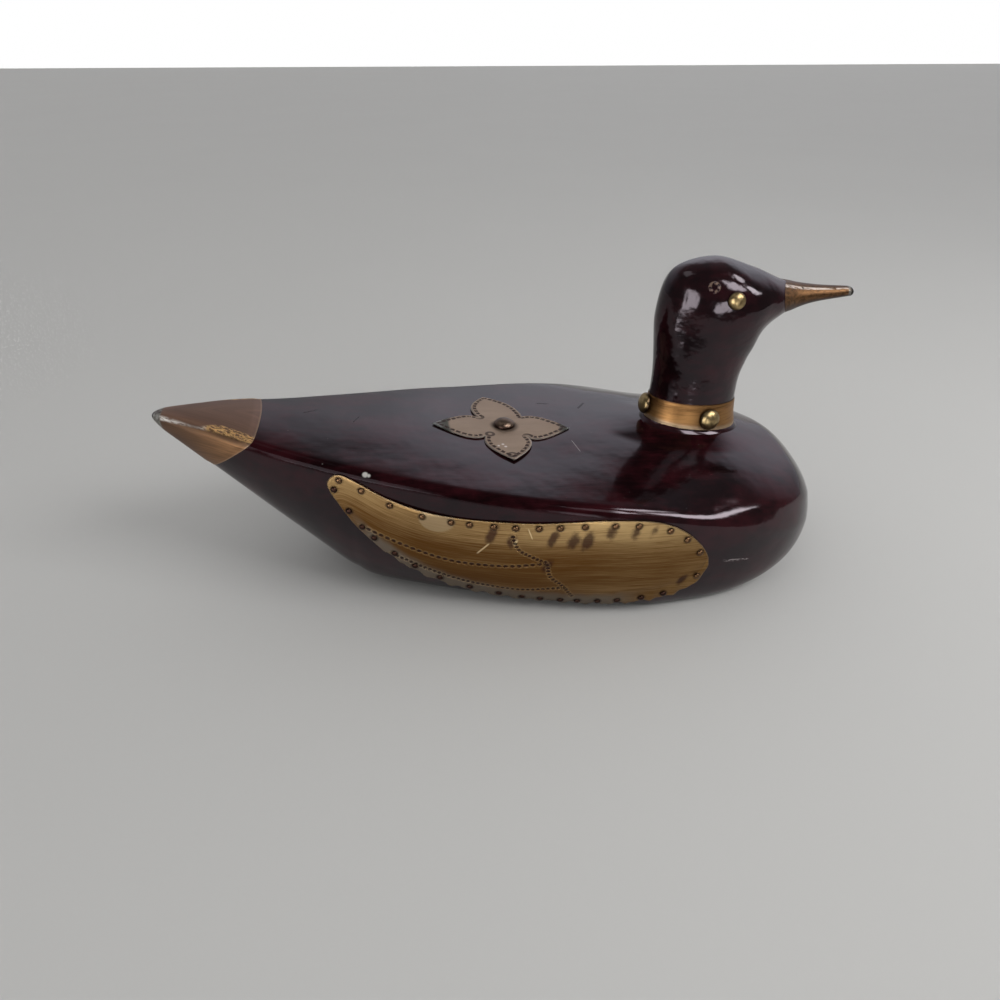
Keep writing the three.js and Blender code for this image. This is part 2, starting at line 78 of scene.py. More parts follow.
BASE_REAR_POWER = 2.0 / 3.0
BASE_FRONT_POWER = 2.2
BASE_WIDTH_LIMIT = 0.88
KEEL_HALF_WIDTH = 1.5
KEEL_WIDTH_LIMIT = 0.3
KEEL_BLEND = 8.0
TAIL_BILGE_POWER = 2.4
BREAST_BILGE_POWER = 3.0
FULL_BILGE_STATION = 177.0
BACK_EDGE_RADIUS = 4.2
BACK_EDGE_LIMIT = 0.35
BACK_POWER = 1.0
BREAST_POWER = 2.0
BACK_EDGE_FADES = (218.0, 270.0)

# Head and neck: forward and up from the foot of the neck, nape and throat paired point by point
NECK_STATION = 235.0
NAPE_LINE = (
    (-26.0, -6.0), (-20.2, 5.0), (-18.3, 22.0), (-19.8, 51.0), (-14.5, 69.0),
    (3.5, 73.8), (21.5, 69.0), (36.0, 63.0), (49.5, 60.4), (65.0, 59.2),
)
THROAT_LINE = (
    (28.5, -11.0), (22.2, 0.0), (21.0, 18.0), (23.5, 29.0), (25.0, 34.5),
    (27.0, 42.7), (32.8, 48.2), (40.0, 51.5), (49.5, 54.1), (65.6, 55.9),
)
HEAD_HALF_WIDTHS = (21.0, 14.5, 13.6, 14.5, 17.0, 18.0, 14.0, 7.8, 4.6, 2.0)
BILL_TIP_LENGTH = 2.0
BILL_TIP_DROP = 0.2
HEAD_START_SHARE = 0.04
FILLET_HEIGHT = 1.2
FILLET_REACH = 16.0
BEAD_REACH = 2.0
BEAD_HEIGHT = 2.5
BEAD_POWER = 1.25
NECK_OVAL_FORWARD = 1.0
NECK_OVAL_HALF_LENGTH = 21.3
NECK_OVAL_HALF_WIDTH = 14.3
NECK_OVAL_RADIUS = 16.0

# Edges of the caps and the collar, and the places of studs and nails
TAIL_CAP_LENGTH = 41.4
TAIL_CAP_RAKE = math.radians(51.0)
TAIL_CAP_SKEW = math.radians(5.0)
BILL_CAP_FORWARD = 37.2
BILL_CAP_RAKE = math.radians(-11.0)
BILL_CAP_SWEEP = math.radians(27.0)
COLLAR_RIM_HEIGHT = 13.0
COLLAR_RIM_SLOPE = math.radians(3.5)
COLLAR_FOOT_HEIGHT = 1.4
COLLAR_FOOT_SLOPE = math.radians(6.5)
COLLAR_STUDS = {"left": 60.0, "back": 180.0, "right": 290.0}
EYE_FORWARD = 7.3
EYE_UP = 60.5
WING_OUTLINE = (
    (72.7, 8.0), (77.0, 2.9), (97.0, 9.2), (114.0, 12.0), (150.0, 9.7), (184.0, 4.3),
    (206.0, 3.2), (219.3, 8.3), (228.0, 19.0), (225.5, 29.2), (216.5, 38.5), (204.0, 45.0),
    (176.0, 52.5), (140.0, 53.7), (112.0, 48.0), (88.0, 32.5), (76.5, 17.5),
)
WING_TOP_NAILS = (
    0.021, 0.05, 0.083, 0.119, 0.15, 0.17, 0.196, 0.22, 0.245,
    0.268, 0.295, 0.329, 0.356, 0.397, 0.425, 0.454, 0.499,
)
WING_LOWER_NAILS = (
    0.549, 0.576, 0.605, 0.628, 0.652, 0.672, 0.696, 0.718, 0.746,
    0.782, 0.82, 0.854, 0.883, 0.914, 0.934, 0.959, 0.991,
)
WING_NAIL_INSET = 2.3
FLOWER_STATION = 149.5
PETAL_DIRECTIONS = np.radians((-9.0, 101.0, 181.0, 271.0))
PETAL_LENGTHS = (29.5, 34.3, 32.5, 30.5)
PETAL_BULGES = (16.0, 13.5, 16.0, 13.5)
PETAL_SHOULDERS = (0.5, 0.72, 0.5, 0.62)
PETAL_NOTCH_RADIUS = 13.8
SIDES = {"right": -1.0, "left": 1.0}

# Small lengths of sheet, tacks and their finish
SHEET_CLEARANCE = 0.02
TACK_FOOT = 0.3
BARE_TIP_LENGTH = 12.0
DASH_STEP = 3.1
STRAIGHT_GRAIN_END = 192.0

# Panels that gloss sees: azimuth from the camera's side, elevation and half sizes in degrees, and level
PANELS = (
    (-40.0, 0.0, 8.0, 14.0, 7.0), (22.0, 46.0, 12.0, 9.0, 10.0), (60.0, 38.0, 9.0, 6.0, 12.0),
    (74.0, 59.0, 10.0, 4.0, 10.0), (0.0, -10.0, 4.0, 6.0, 7.0), (-105.0, 66.0, 30.0, 6.0, 1.2),
)
PANEL_SOFT = 5.0
WALL_COLOUR = (0.96, 0.97, 1.08)

# Floor, camera and the lamp's aim in metres, the lens in millimetres
FLOOR_FRONT = -0.23
FLOOR_REACH = 6.0
CAMERA_PLACE = (-0.0368, -0.3047, 0.2159)
CAMERA_TURN = (math.radians(58.0), 0.0, math.radians(-7.0))
CAMERA_LENS = 27.0
CAMERA_SENSOR = 36.0
LAMP_AIM = (0.0, 0.0, 0.06)

# Rows of punch marks on a wing plate, as stations and heights, with the step between marks
PUNCHED_ROWS = (
    (2.75, ((83.9, 41.5), (97.0, 35.6), (111.7, 30.1), (126.5, 27.2), (145.4, 27.5), (159.6, 30.2))),
    (1.75, (
        (145.6, 44.0), (148.4, 36.6), (156.1, 32.0), (159.6, 30.2), (161.4, 23.0), (166.7, 17.7),
        (171.5, 10.4))),
    (2.1, ((95.8, 28.3), (114.7, 19.6), (132.0, 14.6), (150.0, 13.4), (168.5, 16.6))),
)

# Marks of wear: chips with radius and softness, lines as two ends with half width, the rest as places
CHIPS = (
    ((88.2, -40.8, 65.9), 0.9, 0.7),
    ((89.6, -41.4, 65.7), 0.6, 0.6),
    ((71.2, -34.2, 68.4), 0.25, 0.5),
)
PALE_SCRATCH = ((177.6, -14.5), (179.8, -25.0), 0.22)
DARK_SCRATCHES = (
    ((60.0, 4.0), (67.0, 9.5), 0.5),
    ((82.0, -3.0), (85.0, 5.0), 0.4),
    ((186.8, 16.4), (192.0, 24.4), 0.8),
    ((168.0, 27.0), (175.0, 25.0), 0.7),
)
BREAST_SCUFF = ((235.0, 25.2), (249.0, 23.2), 0.8)
WING_NICKS = (
    ((131.0, 33.0), (136.5, 39.5), 0.45),
    ((153.5, 42.0), (151.5, 48.0), 0.3),
    ((146.0, 38.5), (147.5, 42.5), 0.7),
)
HEAD_MARK = (233.5, -14.3, 128.0)
BILL_DENT = (277.0, -4.5, 123.4)
FLOWER_RINGS = ((142.1, -8.4, 63.7), (149.7, -26.7, 62.7))
FLOWER_SPOTS = ((144.7, -18.9, 63.3), (146.7, -17.6, 63.3), (147.7, -19.6, 63.2))
WORN_PATCH_MIDDLE = (115.8, 48.6)
WORN_PATCH_SIZE = (6.8, 5.6)

# Stains below the nails of a wing: station, height and strength
STAINS = (
    (137.5, 43.8, 0.8), (145.5, 40.8, 0.8), (161.8, 43.3, 0.85), (169.8, 42.0, 0.8), (175.5, 42.8, 0.9),
    (184.5, 46.4, 0.65), (194.6, 46.0, 0.65), (202.0, 45.6, 0.5), (160.0, 29.0, 0.7), (217.5, 18.5, 0.7),
)

# Grid steps of the new skins, and steps of the searches
TAIL_ROWS = 80
MIDDLE_ROWS = 110
BREAST_ROWS = 120
BACK_COLUMNS = 28
EDGE_COLUMNS = 8
FLANK_COLUMNS = 34
BASE_COLUMNS = 8
HEAD_ROWS = 240
HEAD_COLUMNS = 120
TIP_ROWS = 8
TAIL_CAP_ROWS = 80
BILL_CAP_ROWS = 70
COLLAR_ROWS = 26
COLLAR_COLUMNS = 160
BEAD_COLUMNS = 48
WING_ROWS = 90
WING_COLUMNS = 280
FLOWER_ROWS = 44
STUD_COLUMNS = 48
NAIL_COLUMNS = 20
OUTLINE_STEPS = 60
PETAL_STEPS = 48
EYE_SEARCH_STEPS = 400
SLOPE_STEP = 0.1
BISECTIONS = 40


# Numbers along a line

def smooth_step(low, high, x):
    """Rise from 0 to 1 between low and high: t^2 (3 - 2t)."""
    t = np.clip((x - low) / (high - low), 0.0, 1.0)
    return t * t * (3.0 - 2.0 * t)


def unit(vectors):
    """Vectors of length 1 along the given ones."""
    return vectors / np.maximum(np.linalg.norm(vectors, axis=-1, keepdims=True), 1e-12)


def run_along(line):
    """Length of a row of points from its start to each of them."""
    return np.concatenate([[0.0], np.cumsum(np.linalg.norm(np.diff(line, axis=0), axis=1))])


def hermite(start, end, leave, arrive, t):
    """Cubic from start to end, t from 0 to 1, with given slopes at both."""
    bend = 2.0 * (start - end) + leave + arrive
    lean = 3.0 * (end - start) - 2.0 * leave - arrive
    return ((bend * t + lean) * t + leave) * t + start


def smooth_through(points, x):
    """Cubic through points whose slope at each is that of the parabola through its neighbours."""
    px, py = np.array(points).T
    span = np.diff(px)
    chord = np.diff(py) / span
    inner = (chord[:-1] * span[1:] + chord[1:] * span[:-1]) / (span[:-1] + span[1:])
    first = chord[0] + (chord[0] - inner[0]) / 2.0
    last = chord[-1] + (chord[-1] - inner[-1]) / 2.0
    slope = np.concatenate([[first], inner, [last]])
    i = np.clip(np.searchsorted(px, x, side="left") - 1, 0, len(span) - 1)
    t = (x - px[i]) / span[i]
    leave = t * (1.0 - t) ** 2 * slope[i] * span[i]
    arrive = t * t * (t - 1.0) * slope[i + 1] * span[i]
    return py[i] + (py[i + 1] - py[i]) * t * t * (3.0 - 2.0 * t) + leave + arrive


def spline(points, share):
    """Uniform Catmull-Rom curve: cubic spans whose end slopes are half the chord between the neighbours."""
    points = np.array(points)
    last = len(points) - 1
    place = np.clip(share, 0.0, 1.0) * last
    i = np.minimum(place.astype(int), last - 1)
    t = (place - i)[..., None]
    start, end = points[i], points[i + 1]
    leave = (end - points[np.maximum(i - 1, 0)]) / 2.0
    arrive = (points[np.minimum(i + 2, last)] - start) / 2.0
    return hermite(start, end, leave, arrive, t)


def bisect(function, low, high):
    """Where a falling function, above zero at low and below it at high, crosses zero, for whole arrays."""
    for _ in range(BISECTIONS):
        middle = (low + high) / 2.0
        above = function(middle) > 0.0
        low, high = np.where(above, middle, low), np.where(above, high, middle)
    return (low + high) / 2.0


def waves(points, length, seed):
    """Soft unevenness between about -1 and 1: the mean of sines along a few fixed slanting directions."""
    draw = np.random.default_rng(seed)
    total = 0.0
    count = 7
    for _ in range(count):
        direction = unit(draw.normal(size=3))
        step = length * draw.uniform(0.7, 1.5)
        total = total + np.sin(points @ direction * TURN / step + draw.uniform(0.0, TURN))
    return total / math.sqrt(count)


# The carved body

def closing(station, length, power):
    """Superellipse over the last stretch of the body: (1 - x^p)^(1/p), x from 0 to 1 at the breast."""
    x = np.clip(1.0 - (BODY_LENGTH - station) / length, 0.0, 1.0)
    return (1.0 - x ** power) ** (1.0 / power)


def tail_underside(station):
    """Straight rise from the flat base to the tail tip, with a short parabola where they meet."""
    slope = (BACK_EDGE_HEIGHTS[0][1] - TAIL_TIP_DEPTH) / BASE_REAR_STATION
    ahead = BASE_REAR_STATION - station
    blend = slope * np.maximum(0.0, ahead + KEEL_BLEND) ** 2 / (4.0 * KEEL_BLEND)
    return np.where(ahead > KEEL_BLEND, slope * ahead, blend)


def tail_nose(station):
    """Superellipse that rounds off the tip of the tail, from 1 where it starts to nearly 0 at the tip."""
    tip, start = TAIL_NOSE
    x = np.clip((start - station) / (start - tip), 0.0, 1.0)
    return np.maximum(1.0 - x ** TAIL_NOSE_POWER, 1e-5) ** (1.0 / TAIL_NOSE_POWER)


def body_rails(station):
    """Half width, edge, crown and underside heights, half width of the base and two powers of a section."""
    behind = np.maximum(0.0, 1.0 - station / (BODY_LENGTH - BREAST_LENGTH))
    plan = TAIL_TIP_HALF_WIDTH + (MAX_HALF_WIDTH - TAIL_TIP_HALF_WIDTH) * (1.0 - behind ** TAIL_TAPER_POWER)
    half_width = plan * closing(station, BREAST_LENGTH, BREAST_PLAN_POWER)
    top = closing(station, BREAST_TOP_LENGTH, ROUND_POWER)
    edge_line = smooth_through(BACK_EDGE_HEIGHTS, station)
    crown_line = edge_line + smooth_through(BACK_CROWN_RISES, station)
    rear_length = BODY_LENGTH - BASE_FRONT_LENGTH - BASE_REAR_STATION
    rear = np.clip((station - BASE_REAR_STATION) / rear_length, 0.0, 1.0) ** BASE_REAR_POWER
    base = BASE_HALF_WIDTH * rear * closing(station, BASE_FRONT_LENGTH, BASE_FRONT_POWER)
    base = np.minimum(base, BASE_WIDTH_LIMIT * half_width)
    keel = np.minimum(KEEL_HALF_WIDTH, KEEL_WIDTH_LIMIT * half_width)
    lift = BREAST_POINT_HEIGHT * (1.0 - closing(station, BREAST_UNDERSIDE_LENGTH, ROUND_POWER))
    fullness = np.minimum(1.0, station / FULL_BILGE_STATION)
    fade = smooth_step(*BACK_EDGE_FADES, station)
    nose = tail_nose(station)
    middle = edge_line - (edge_line - tail_underside(station)) * 0.5

    def rounded(height):
        return middle + (height - middle) * nose

    return SimpleNamespace(
        half_width=half_width * nose,
        edge=rounded(BREAST_POINT_HEIGHT + (edge_line - BREAST_POINT_HEIGHT) * top),
        crown=rounded(BREAST_POINT_HEIGHT + (crown_line - BREAST_POINT_HEIGHT) * top),
        base=np.maximum(base, keel) * nose,
        underside=rounded(tail_underside(station) + lift),
        bilge=TAIL_BILGE_POWER + (BREAST_BILGE_POWER - TAIL_BILGE_POWER) * fullness,
        back_power=BACK_POWER + (BREAST_POWER - BACK_POWER) * fade,
    )


def back_height(station, breadth):
    """Height of the back: edge + (crown - edge) (1 - q^2)^(1/power), q the share of the half width."""
    rail = body_rails(station)
    q = np.clip(np.abs(breadth) / rail.half_width, 0.0, 1.0)
    return rail.edge + (rail.crown - rail.edge) * (1.0 - q * q) ** (1.0 / rail.back_power)


def flank_breadth(station, height):
    """Half breadth of the flank: base + (w - base) (1 - (1 - h)^p)^(1/p), h the share of the depth."""
    rail = body_rails(station)
    h = np.clip((height - rail.underside) / (rail.edge - rail.underside), 0.0, 1.0)
    return rail.base + (rail.half_width - rail.base) * (1.0 - (1.0 - h) ** rail.bilge) ** (1.0 / rail.bilge)


def body_point(station, lap, side):
    """Skin of the body at a station and a lap.

    Lap 0 to 1 follows the curve of the back, 1 to 2 the quadratic Bezier that rounds its edge, 2 to 3 the
    superellipse of the flank by its angle, and 3 to 4 the flat base to its middle.
    """
    station, lap, side = np.broadcast_arrays(station, lap, side)
    rail = body_rails(station)
    depth = rail.edge - rail.underside
    rounding = np.minimum(BACK_EDGE_RADIUS, BACK_EDGE_LIMIT * np.minimum(rail.half_width, depth))
    back_end = 1.0 - rounding / rail.half_width
    flank_start = np.arcsin((rounding / depth) ** (rail.bilge / 2.0))

    def back(q):
        rise = np.maximum(0.0, 1.0 - q * q) ** (1.0 / rail.back_power)
        return np.stack([rail.half_width * q, rail.edge + (rail.crown - rail.edge) * rise])

    def flank(angle):
        out = np.maximum(0.0, np.cos(angle)) ** (2.0 / rail.bilge)
        down = np.sin(angle) ** (2.0 / rail.bilge)
        across = rail.base + (rail.half_width - rail.base) * out
        return np.stack([across, rail.underside + depth * (1.0 - down)])

    t = np.clip(lap - 1.0, 0.0, 1.0)
    corner = np.stack([rail.half_width, rail.edge])
    round_edge = (1.0 - t) ** 2 * back(back_end) + 2.0 * t * (1.0 - t) * corner + t * t * flank(flank_start)
    down_flank = flank(flank_start + (math.pi / 2.0 - flank_start) * np.clip(lap - 2.0, 0.0, 1.0))
    under = np.stack([rail.base * np.clip(4.0 - lap, 0.0, 1.0), rail.underside])
    over_back = back(back_end * np.clip(lap, 0.0, 1.0))
    stretches = [over_back, round_edge, down_flank]
    breadth, height = np.select([lap <= 1.0, lap <= 2.0, lap <= 3.0], stretches, under)
    return np.stack([station, side * breadth, height], axis=-1)


def ring_laps():
    """Laps once round a section, down the left half and up the right, with the side that each is on."""
    steps = (BACK_COLUMNS, EDGE_COLUMNS, FLANK_COLUMNS, BASE_COLUMNS)
    left = np.concatenate([i + np.arange(n) / n for i, n in enumerate(steps)] + [[float(len(steps))]])
    laps = np.concatenate([left, left[-2:0:-1]])
    sides = np.where(np.arange(len(laps)) < len(left), 1.0, -1.0)
    return laps, sides


# The head, and what lies over wood

def seat_height():
    """Height of the back's crown under the neck."""
    return float(body_rails(np.array(NECK_STATION)).crown)


def head_point(share, turn):
    """Skin of head and bill: ellipses between nape and throat, m + r cos(turn) upright, w sin(turn) out."""
    share, turn = np.broadcast_arrays(share, turn)
    nape = spline(NAPE_LINE, share)
    throat = spline(THROAT_LINE, share)
    widths = [(i / (len(HEAD_HALF_WIDTHS) - 1), width) for i, width in enumerate(HEAD_HALF_WIDTHS)]
    flat = (nape + throat) / 2.0 + (nape - throat) / 2.0 * np.cos(turn)[..., None]
    breadth = smooth_through(widths, share) * np.sin(turn)
    return np.stack([NECK_STATION + flat[..., 0], breadth, seat_height() + flat[..., 1]], axis=-1)


def outward(points):
    """Unit normals of rings of points, by cross products of differences, facing away from their middles."""
    along = np.gradient(points, axis=0)
    across = np.roll(points, -1, axis=1) - np.roll(points, 1, axis=1)
    out = unit(np.cross(along, across))
    away = np.sum(out * (points - points.mean(axis=1, keepdims=True)))
    return out if away > 0.0 else -out


def round_tip(ring, tip):
    """Rings that shrink from a last ring to a tip like a quarter ellipse: cosine in width, sine along."""
    middle = ring.mean(axis=0)
    angle = (np.arange(1, TIP_ROWS) / TIP_ROWS * math.pi / 2.0)[:, None, None]
    return middle + (ring - middle) * np.cos(angle) + (tip - middle) * np.sin(angle)


# Meshes and pieces

def skin(rings, tips=None):
    """Corners and faces of a closed skin: quads between rings, a fan to each tip or back to the start."""
    rows, columns = rings.shape[:2]
    index = np.arange(rows * columns).reshape(rows, columns)
    ahead = np.roll(index, -1, axis=1)
    points = rings.reshape(-1, 3)
    fans = np.zeros((0, 3), int)
    if tips is None:
        quads = np.stack([index, ahead, np.roll(ahead, -1, axis=0), np.roll(index, -1, axis=0)], axis=-1)
    else:
        quads = np.stack([index[:-1], ahead[:-1], ahead[1:], index[1:]], axis=-1)
        first = np.stack([np.full(columns, len(points)), ahead[0], index[0]], axis=-1)
        last = np.stack([np.full(columns, len(points) + 1), index[-1], ahead[-1]], axis=-1)
        fans = np.concatenate([first, last])
        points = np.concatenate([points, tips])
    quads = quads.reshape(-1, 4)
    corners = np.concatenate([quads[:, [0, 1, 2]], quads[:, [0, 2, 3]], fans])
    a, b, c = points[corners].transpose(1, 0, 2)
    volume = np.sum(a * np.cross(b, c))
    if abs(volume) < 1e-9:
        raise RuntimeError("a skin encloses nothing")
    if volume < 0.0:
        quads, fans = quads[:, ::-1], fans[:, ::-1]
    return points, quads, fans


def mesh_of(name, skins):
    """One mesh of several closed skins, moved from stations in millimetres to the frame in metres."""
    points, faces, start = [], [], 0
    for corners, quads, fans in skins:
        points.append(corners)
        faces += (quads + start).tolist() + (fans + start).tolist()
        start += len(corners)
    place = (np.concatenate(points) - (HALF_LENGTH, 0.0, 0.0)) * MM
    mesh = bpy.data.meshes.new(name)
    mesh.from_pydata(place.tolist(), [], faces)
    mesh.shade_smooth()
    mesh.set_sharp_from_angle(angle=math.radians(50.0))
    return mesh


def new_object(name, data):
    """An object of the scene with the given mesh, lamp or camera."""
    made = bpy.data.objects.new(name, data)
    bpy.context.scene.collection.objects.link(made)
    return made


def add_piece(name, skins, finish, nodes=(), values=None):
    """Puts a piece into the scene in place of its nodes, riding on the decoy, with numbers at its corners."""
    mesh = mesh_of(name, skins)
    for key, numbers in (values or {}).items():
        kept = np.zeros(len(mesh.vertices), np.float32)
        kept[:numbers.size] = numbers.ravel()
        kept[numbers.size:] = numbers.ravel()[-1]
        mesh.attributes.new(key, "FLOAT", "POINT").data.foreach_set("value", kept)
    mesh.materials.append(finish)
    piece = new_object(name, mesh)
    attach(piece, "root")
    if nodes:
        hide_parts(*nodes)


# Shader sums

class Value:
    """One socket of a shader. Sums, products and powers of values add the Math nodes that work them out."""

    def __init__(self, maker, socket):
        self.maker = maker
        self.socket = socket

    def sum_up(self, operation, *terms):
        return self.maker.node("ShaderNodeMath", {"operation": operation}, terms)

    def other(self, output):
        return Value(self.maker, self.socket.node.outputs[output])

    def __add__(self, other):
        return self.sum_up("ADD", self, other)

    __radd__ = __add__

    def __sub__(self, other):
        return self.sum_up("SUBTRACT", self, other)

    def __rsub__(self, other):
        return self.sum_up("SUBTRACT", other, self)

    def __mul__(self, other):
        return self.sum_up("MULTIPLY", self, other)

    __rmul__ = __mul__

    def __truediv__(self, other):
        return self.sum_up("DIVIDE", self, other)

    def __pow__(self, other):
        return self.sum_up("POWER", self, other)

    def __abs__(self):
        return self.sum_up("ABSOLUTE", self)

    def fraction(self):
        return self.sum_up("FRACT", self)

    def most(self, other):
        return self.sum_up("MAXIMUM", self, other)

    def rise(self, low, high):
        """0 below low, 1 above high and a soft step between; with low above high it falls instead."""
        inputs = {"Value": self, "From Min": min(low, high), "From Max": max(low, high)}
        if low > high:
            inputs.update({"To Min": 1.0, "To Max": 0.0})
        return self.maker.node("ShaderNodeMapRange", {"interpolation_type": "SMOOTHSTEP"}, inputs)


class Maker:
    """Adds nodes to one shader tree."""

    def __init__(self, tree):
        self.tree = tree
        tree.nodes.clear()

    def node(self, kind, settings, inputs, output=0):
        """Adds a node, sets it up, gives its sockets numbers or links, and returns one of its outputs."""
        node = self.tree.nodes.new(kind)
        for key, value in settings.items():
            setattr(node, key, value)
        named = inputs.items() if isinstance(inputs, dict) else enumerate(inputs)
        for key, value in named:
            socket = node.inputs[key]
            if isinstance(key, str):
                socket = next(s for s in node.inputs if s.name == key and s.enabled)
            if isinstance(value, Value):
                self.tree.links.new(value.socket, socket)
            else:
                socket.default_value = value
        found = [s for s in node.outputs if s.enabled]
        return Value(self, found[output]) if found else None

    def place(self):
        """Object coordinates in millimetres."""
        metres = self.node("ShaderNodeTexCoord", {}, {}).other("Object")
        return self.stretch(metres, 1.0 / MM)

    def stretch(self, vector, factors):
        """A vector times three factors, or times one."""
        factors = factors if isinstance(factors, tuple) else (factors,) * 3
        return self.node("ShaderNodeVectorMath", {"operation": "MULTIPLY"}, (vector, factors))

    def axes(self, vector):
        first = self.node("ShaderNodeSeparateXYZ", {}, (vector,))
        return first, first.other(1), first.other(2)

    def kept(self, name):
        """A number kept at the corners of the piece."""
        return self.node("ShaderNodeAttribute", {"attribute_name": name}, {}).other("Fac")

    def noise(self, vector, factors, detail=2.0, roughness=0.5):
        stretched = self.stretch(vector, factors)
        inputs = {"Vector": stretched, "Scale": 1.0, "Detail": detail, "Roughness": roughness}
        return self.node("ShaderNodeTexNoise", {}, inputs)

    def mix(self, factor, first, second):
        inputs = {"Factor": factor, "A": colour(first), "B": colour(second)}
        return self.node("ShaderNodeMix", {"data_type": "RGBA"}, inputs)

    def layers(self, base, *coats):
        """A colour under coats, each given as a mask and a colour."""
        for mask, coat in coats:
            base = self.mix(mask, base, coat)
        return base

    def flat(self, across, along):
        """A vector of two values, for a pattern that lies in the sheet."""
        return self.node("ShaderNodeCombineXYZ", {}, (across, along, 0.0))

    def near(self, vector, point, radius, soft):
        """1 within a radius of a point given as station, breadth and height, softly 0 outside."""
        centre = (point[0] - HALF_LENGTH, point[1], point[2])
        gap = self.node("ShaderNodeVectorMath", {"operation": "DISTANCE"}, (vector, centre)).other("Value")
        return gap.rise(radius + soft, radius)

    def ring(self, vector, point, outer, inner):
        """1 between two radii round such a point, softly 0 elsewhere."""
        return self.near(vector, point, outer, 0.5) * (1.0 - self.near(vector, point, inner, 0.5))

    def bump(self, height, distance):
        return self.node("ShaderNodeBump", {}, {"Height": height, "Distance": distance * MM, "Strength": 1.0})

    def finish(self, dull=None, **inputs):
        """Principled surface with the given sockets, in plain words, and a matt one where it is dull."""
        named = {key.replace("_", " ").title().replace("Ior", "IOR"): value for key, value in inputs.items()}
        shader = self.node("ShaderNodeBsdfPrincipled", {}, named)
        if dull is not None:
            matt = self.node("ShaderNodeBsdfDiffuse", {}, {"Color": inputs["base_color"]})
            shader = self.node("ShaderNodeMixShader", {}, (dull, shader, matt))
        self.node("ShaderNodeOutputMaterial", {}, {"Surface": shader})


def colour(value):
    """A colour socket, or plain red, green and blue with full cover added."""
    return value if isinstance(value, Value) else (*value[:3], 1.0)


def scaled(numbers, factor):
    """A colour or a row of factors, each number times a factor."""
    return tuple(factor * number for number in numbers)


def strongest(masks):
    """The largest of several masks at each place."""
    return reduce(Value.most, masks)


def material(name):
    made = bpy.data.materials.new(name)
    made.use_nodes = True
    return made, Maker(made.node_tree)


def stroke(across, along, start, end, half_width):
    """Mask of a thin straight scratch between two ends, each a station and a breadth or height."""
    reach = math.dist(start, end)
    dx, dy = (end[0] - start[0]) / reach, (end[1] - start[1]) / reach
    ahead, beside = across - (start[0] - HALF_LENGTH), along - start[1]
    run = ahead * dx + beside * dy
    off = abs(beside * dx - ahead * dy)
    return off.rise(half_width, half_width * 0.4) * run.rise(0.0, 1.5) * run.rise(reach, reach - 1.5)


# Properties

def length(name, description, default):
    return bpy.props.FloatProperty(
        name=name, description=description, default=default, unit="LENGTH", precision=5)


def paint(name, description, default):
    return bpy.props.FloatVectorProperty(
        name=name, description=description, default=default, size=3, min=0.0, max=1.0, subtype="COLOR")


def share(name, description, default):
    return bpy.props.FloatProperty(
        name=name, description=description, default=default, min=0.0, max=1.0, subtype="FACTOR")


class DecoySizes(bpy.types.PropertyGroup):
    """Small sizes of the brass and the carving."""

    sheet: length("Sheet", "Thickness of the brass sheet", 0.0006)
    sheet_gap: length("Sheet gap", "Room between the wood and the sheet on it", 0.0003)
    cap: length("Cap sheet", "Thickness of the sheet of the caps", 0.0005)
    strip: length("Strip", "Thickness of the collar strip", 0.0004)
    ripple: length("Edge ripple", "Height of the waves along the lower edge of a wing plate", 0.0006)
    carving: length("Carving", "Unevenness of the carved wood", 0.00016)
    nail_head: length("Nail head", "Radius of a wing nail's head", 0.0014)
    nail_height: length("Nail height", "Height of a wing nail's head", 0.0008)
    stud_head: length("Stud head", "Radius of a domed stud", 0.0048)
    stud_height: length("Stud height", "Height of a domed stud", 0.003)
    eye: share("Eye", "Size of an eye stud as a share of the other studs", 0.76)
    stud_lift: length("Stud lift", "Room under a domed stud", 0.0006)


class DecoyColours(bpy.types.PropertyGroup):
    """Colours of the finishes."""

    lacquer_dark: paint("Dark lacquer", "Lacquer where it is thickest", (0.006, 0.002, 0.0025))
    lacquer_red: paint("Red lacquer", "Lacquer where the red ground shows", (0.027, 0.0045, 0.0065))
    chip: paint("Chip", "Bare ground in a chip of the lacquer", (0.52, 0.50, 0.47))
    wing_gold: paint("Wing gold", "Bright brass of the wing plates", (0.6, 0.41, 0.19))
    wing_brown: paint("Wing brown", "Brown tarnish of the wing plates", (0.145, 0.063, 0.015))
    wing_grey: paint("Wing grey", "Dull flattened edge of the wing plates", (0.20, 0.165, 0.13))
    # Also the colour of the painted shade at the foot of the domed heads.
    stain: paint("Stain", "Dark stain round nails and punch marks", (0.03, 0.013, 0.011))
    flower_tan: paint("Flower tan", "Dull brass of the flower", (0.43, 0.32, 0.235))
    flower_grey: paint("Flower grey", "Grey-green tarnish on the tips of the flower", (0.06, 0.068, 0.058))
    tail_brown: paint("Tail brown", "Dull brown top of the tail cap", (0.24, 0.135, 0.09))
    tail_tan: paint("Tail tan", "Lighter flanks of the tail cap", (0.43, 0.225, 0.105))
    bill_brown: paint("Bill brown", "Orange-brown brass of the bill cap", (0.17, 0.085, 0.036))
    rubbed: paint("Rubbed gold", "Bare metal where the caps are rubbed", (0.78, 0.47, 0.19))
    collar_gold: paint("Collar gold", "Orange brass of the collar", (0.33, 0.172, 0.062))
    collar_brown: paint("Collar brown", "Dark grain of the collar", (0.10, 0.04, 0.012))
    stud_brass: paint("Stud brass", "Antique brass of studs", (0.44, 0.32, 0.155))
    stud_bronze: paint("Stud bronze", "Dark bronze of the flower's stud", (0.19, 0.13, 0.095))
    nail_brown: paint("Nail brown", "Dark brown of the wing nails", (0.17, 0.092, 0.045))
    dowel_wood: paint("Dowel wood", "Bare wood of the dowel", (0.46, 0.29, 0.13))
    floor: paint("Floor", "Pale floor", (0.60, 0.595, 0.58))


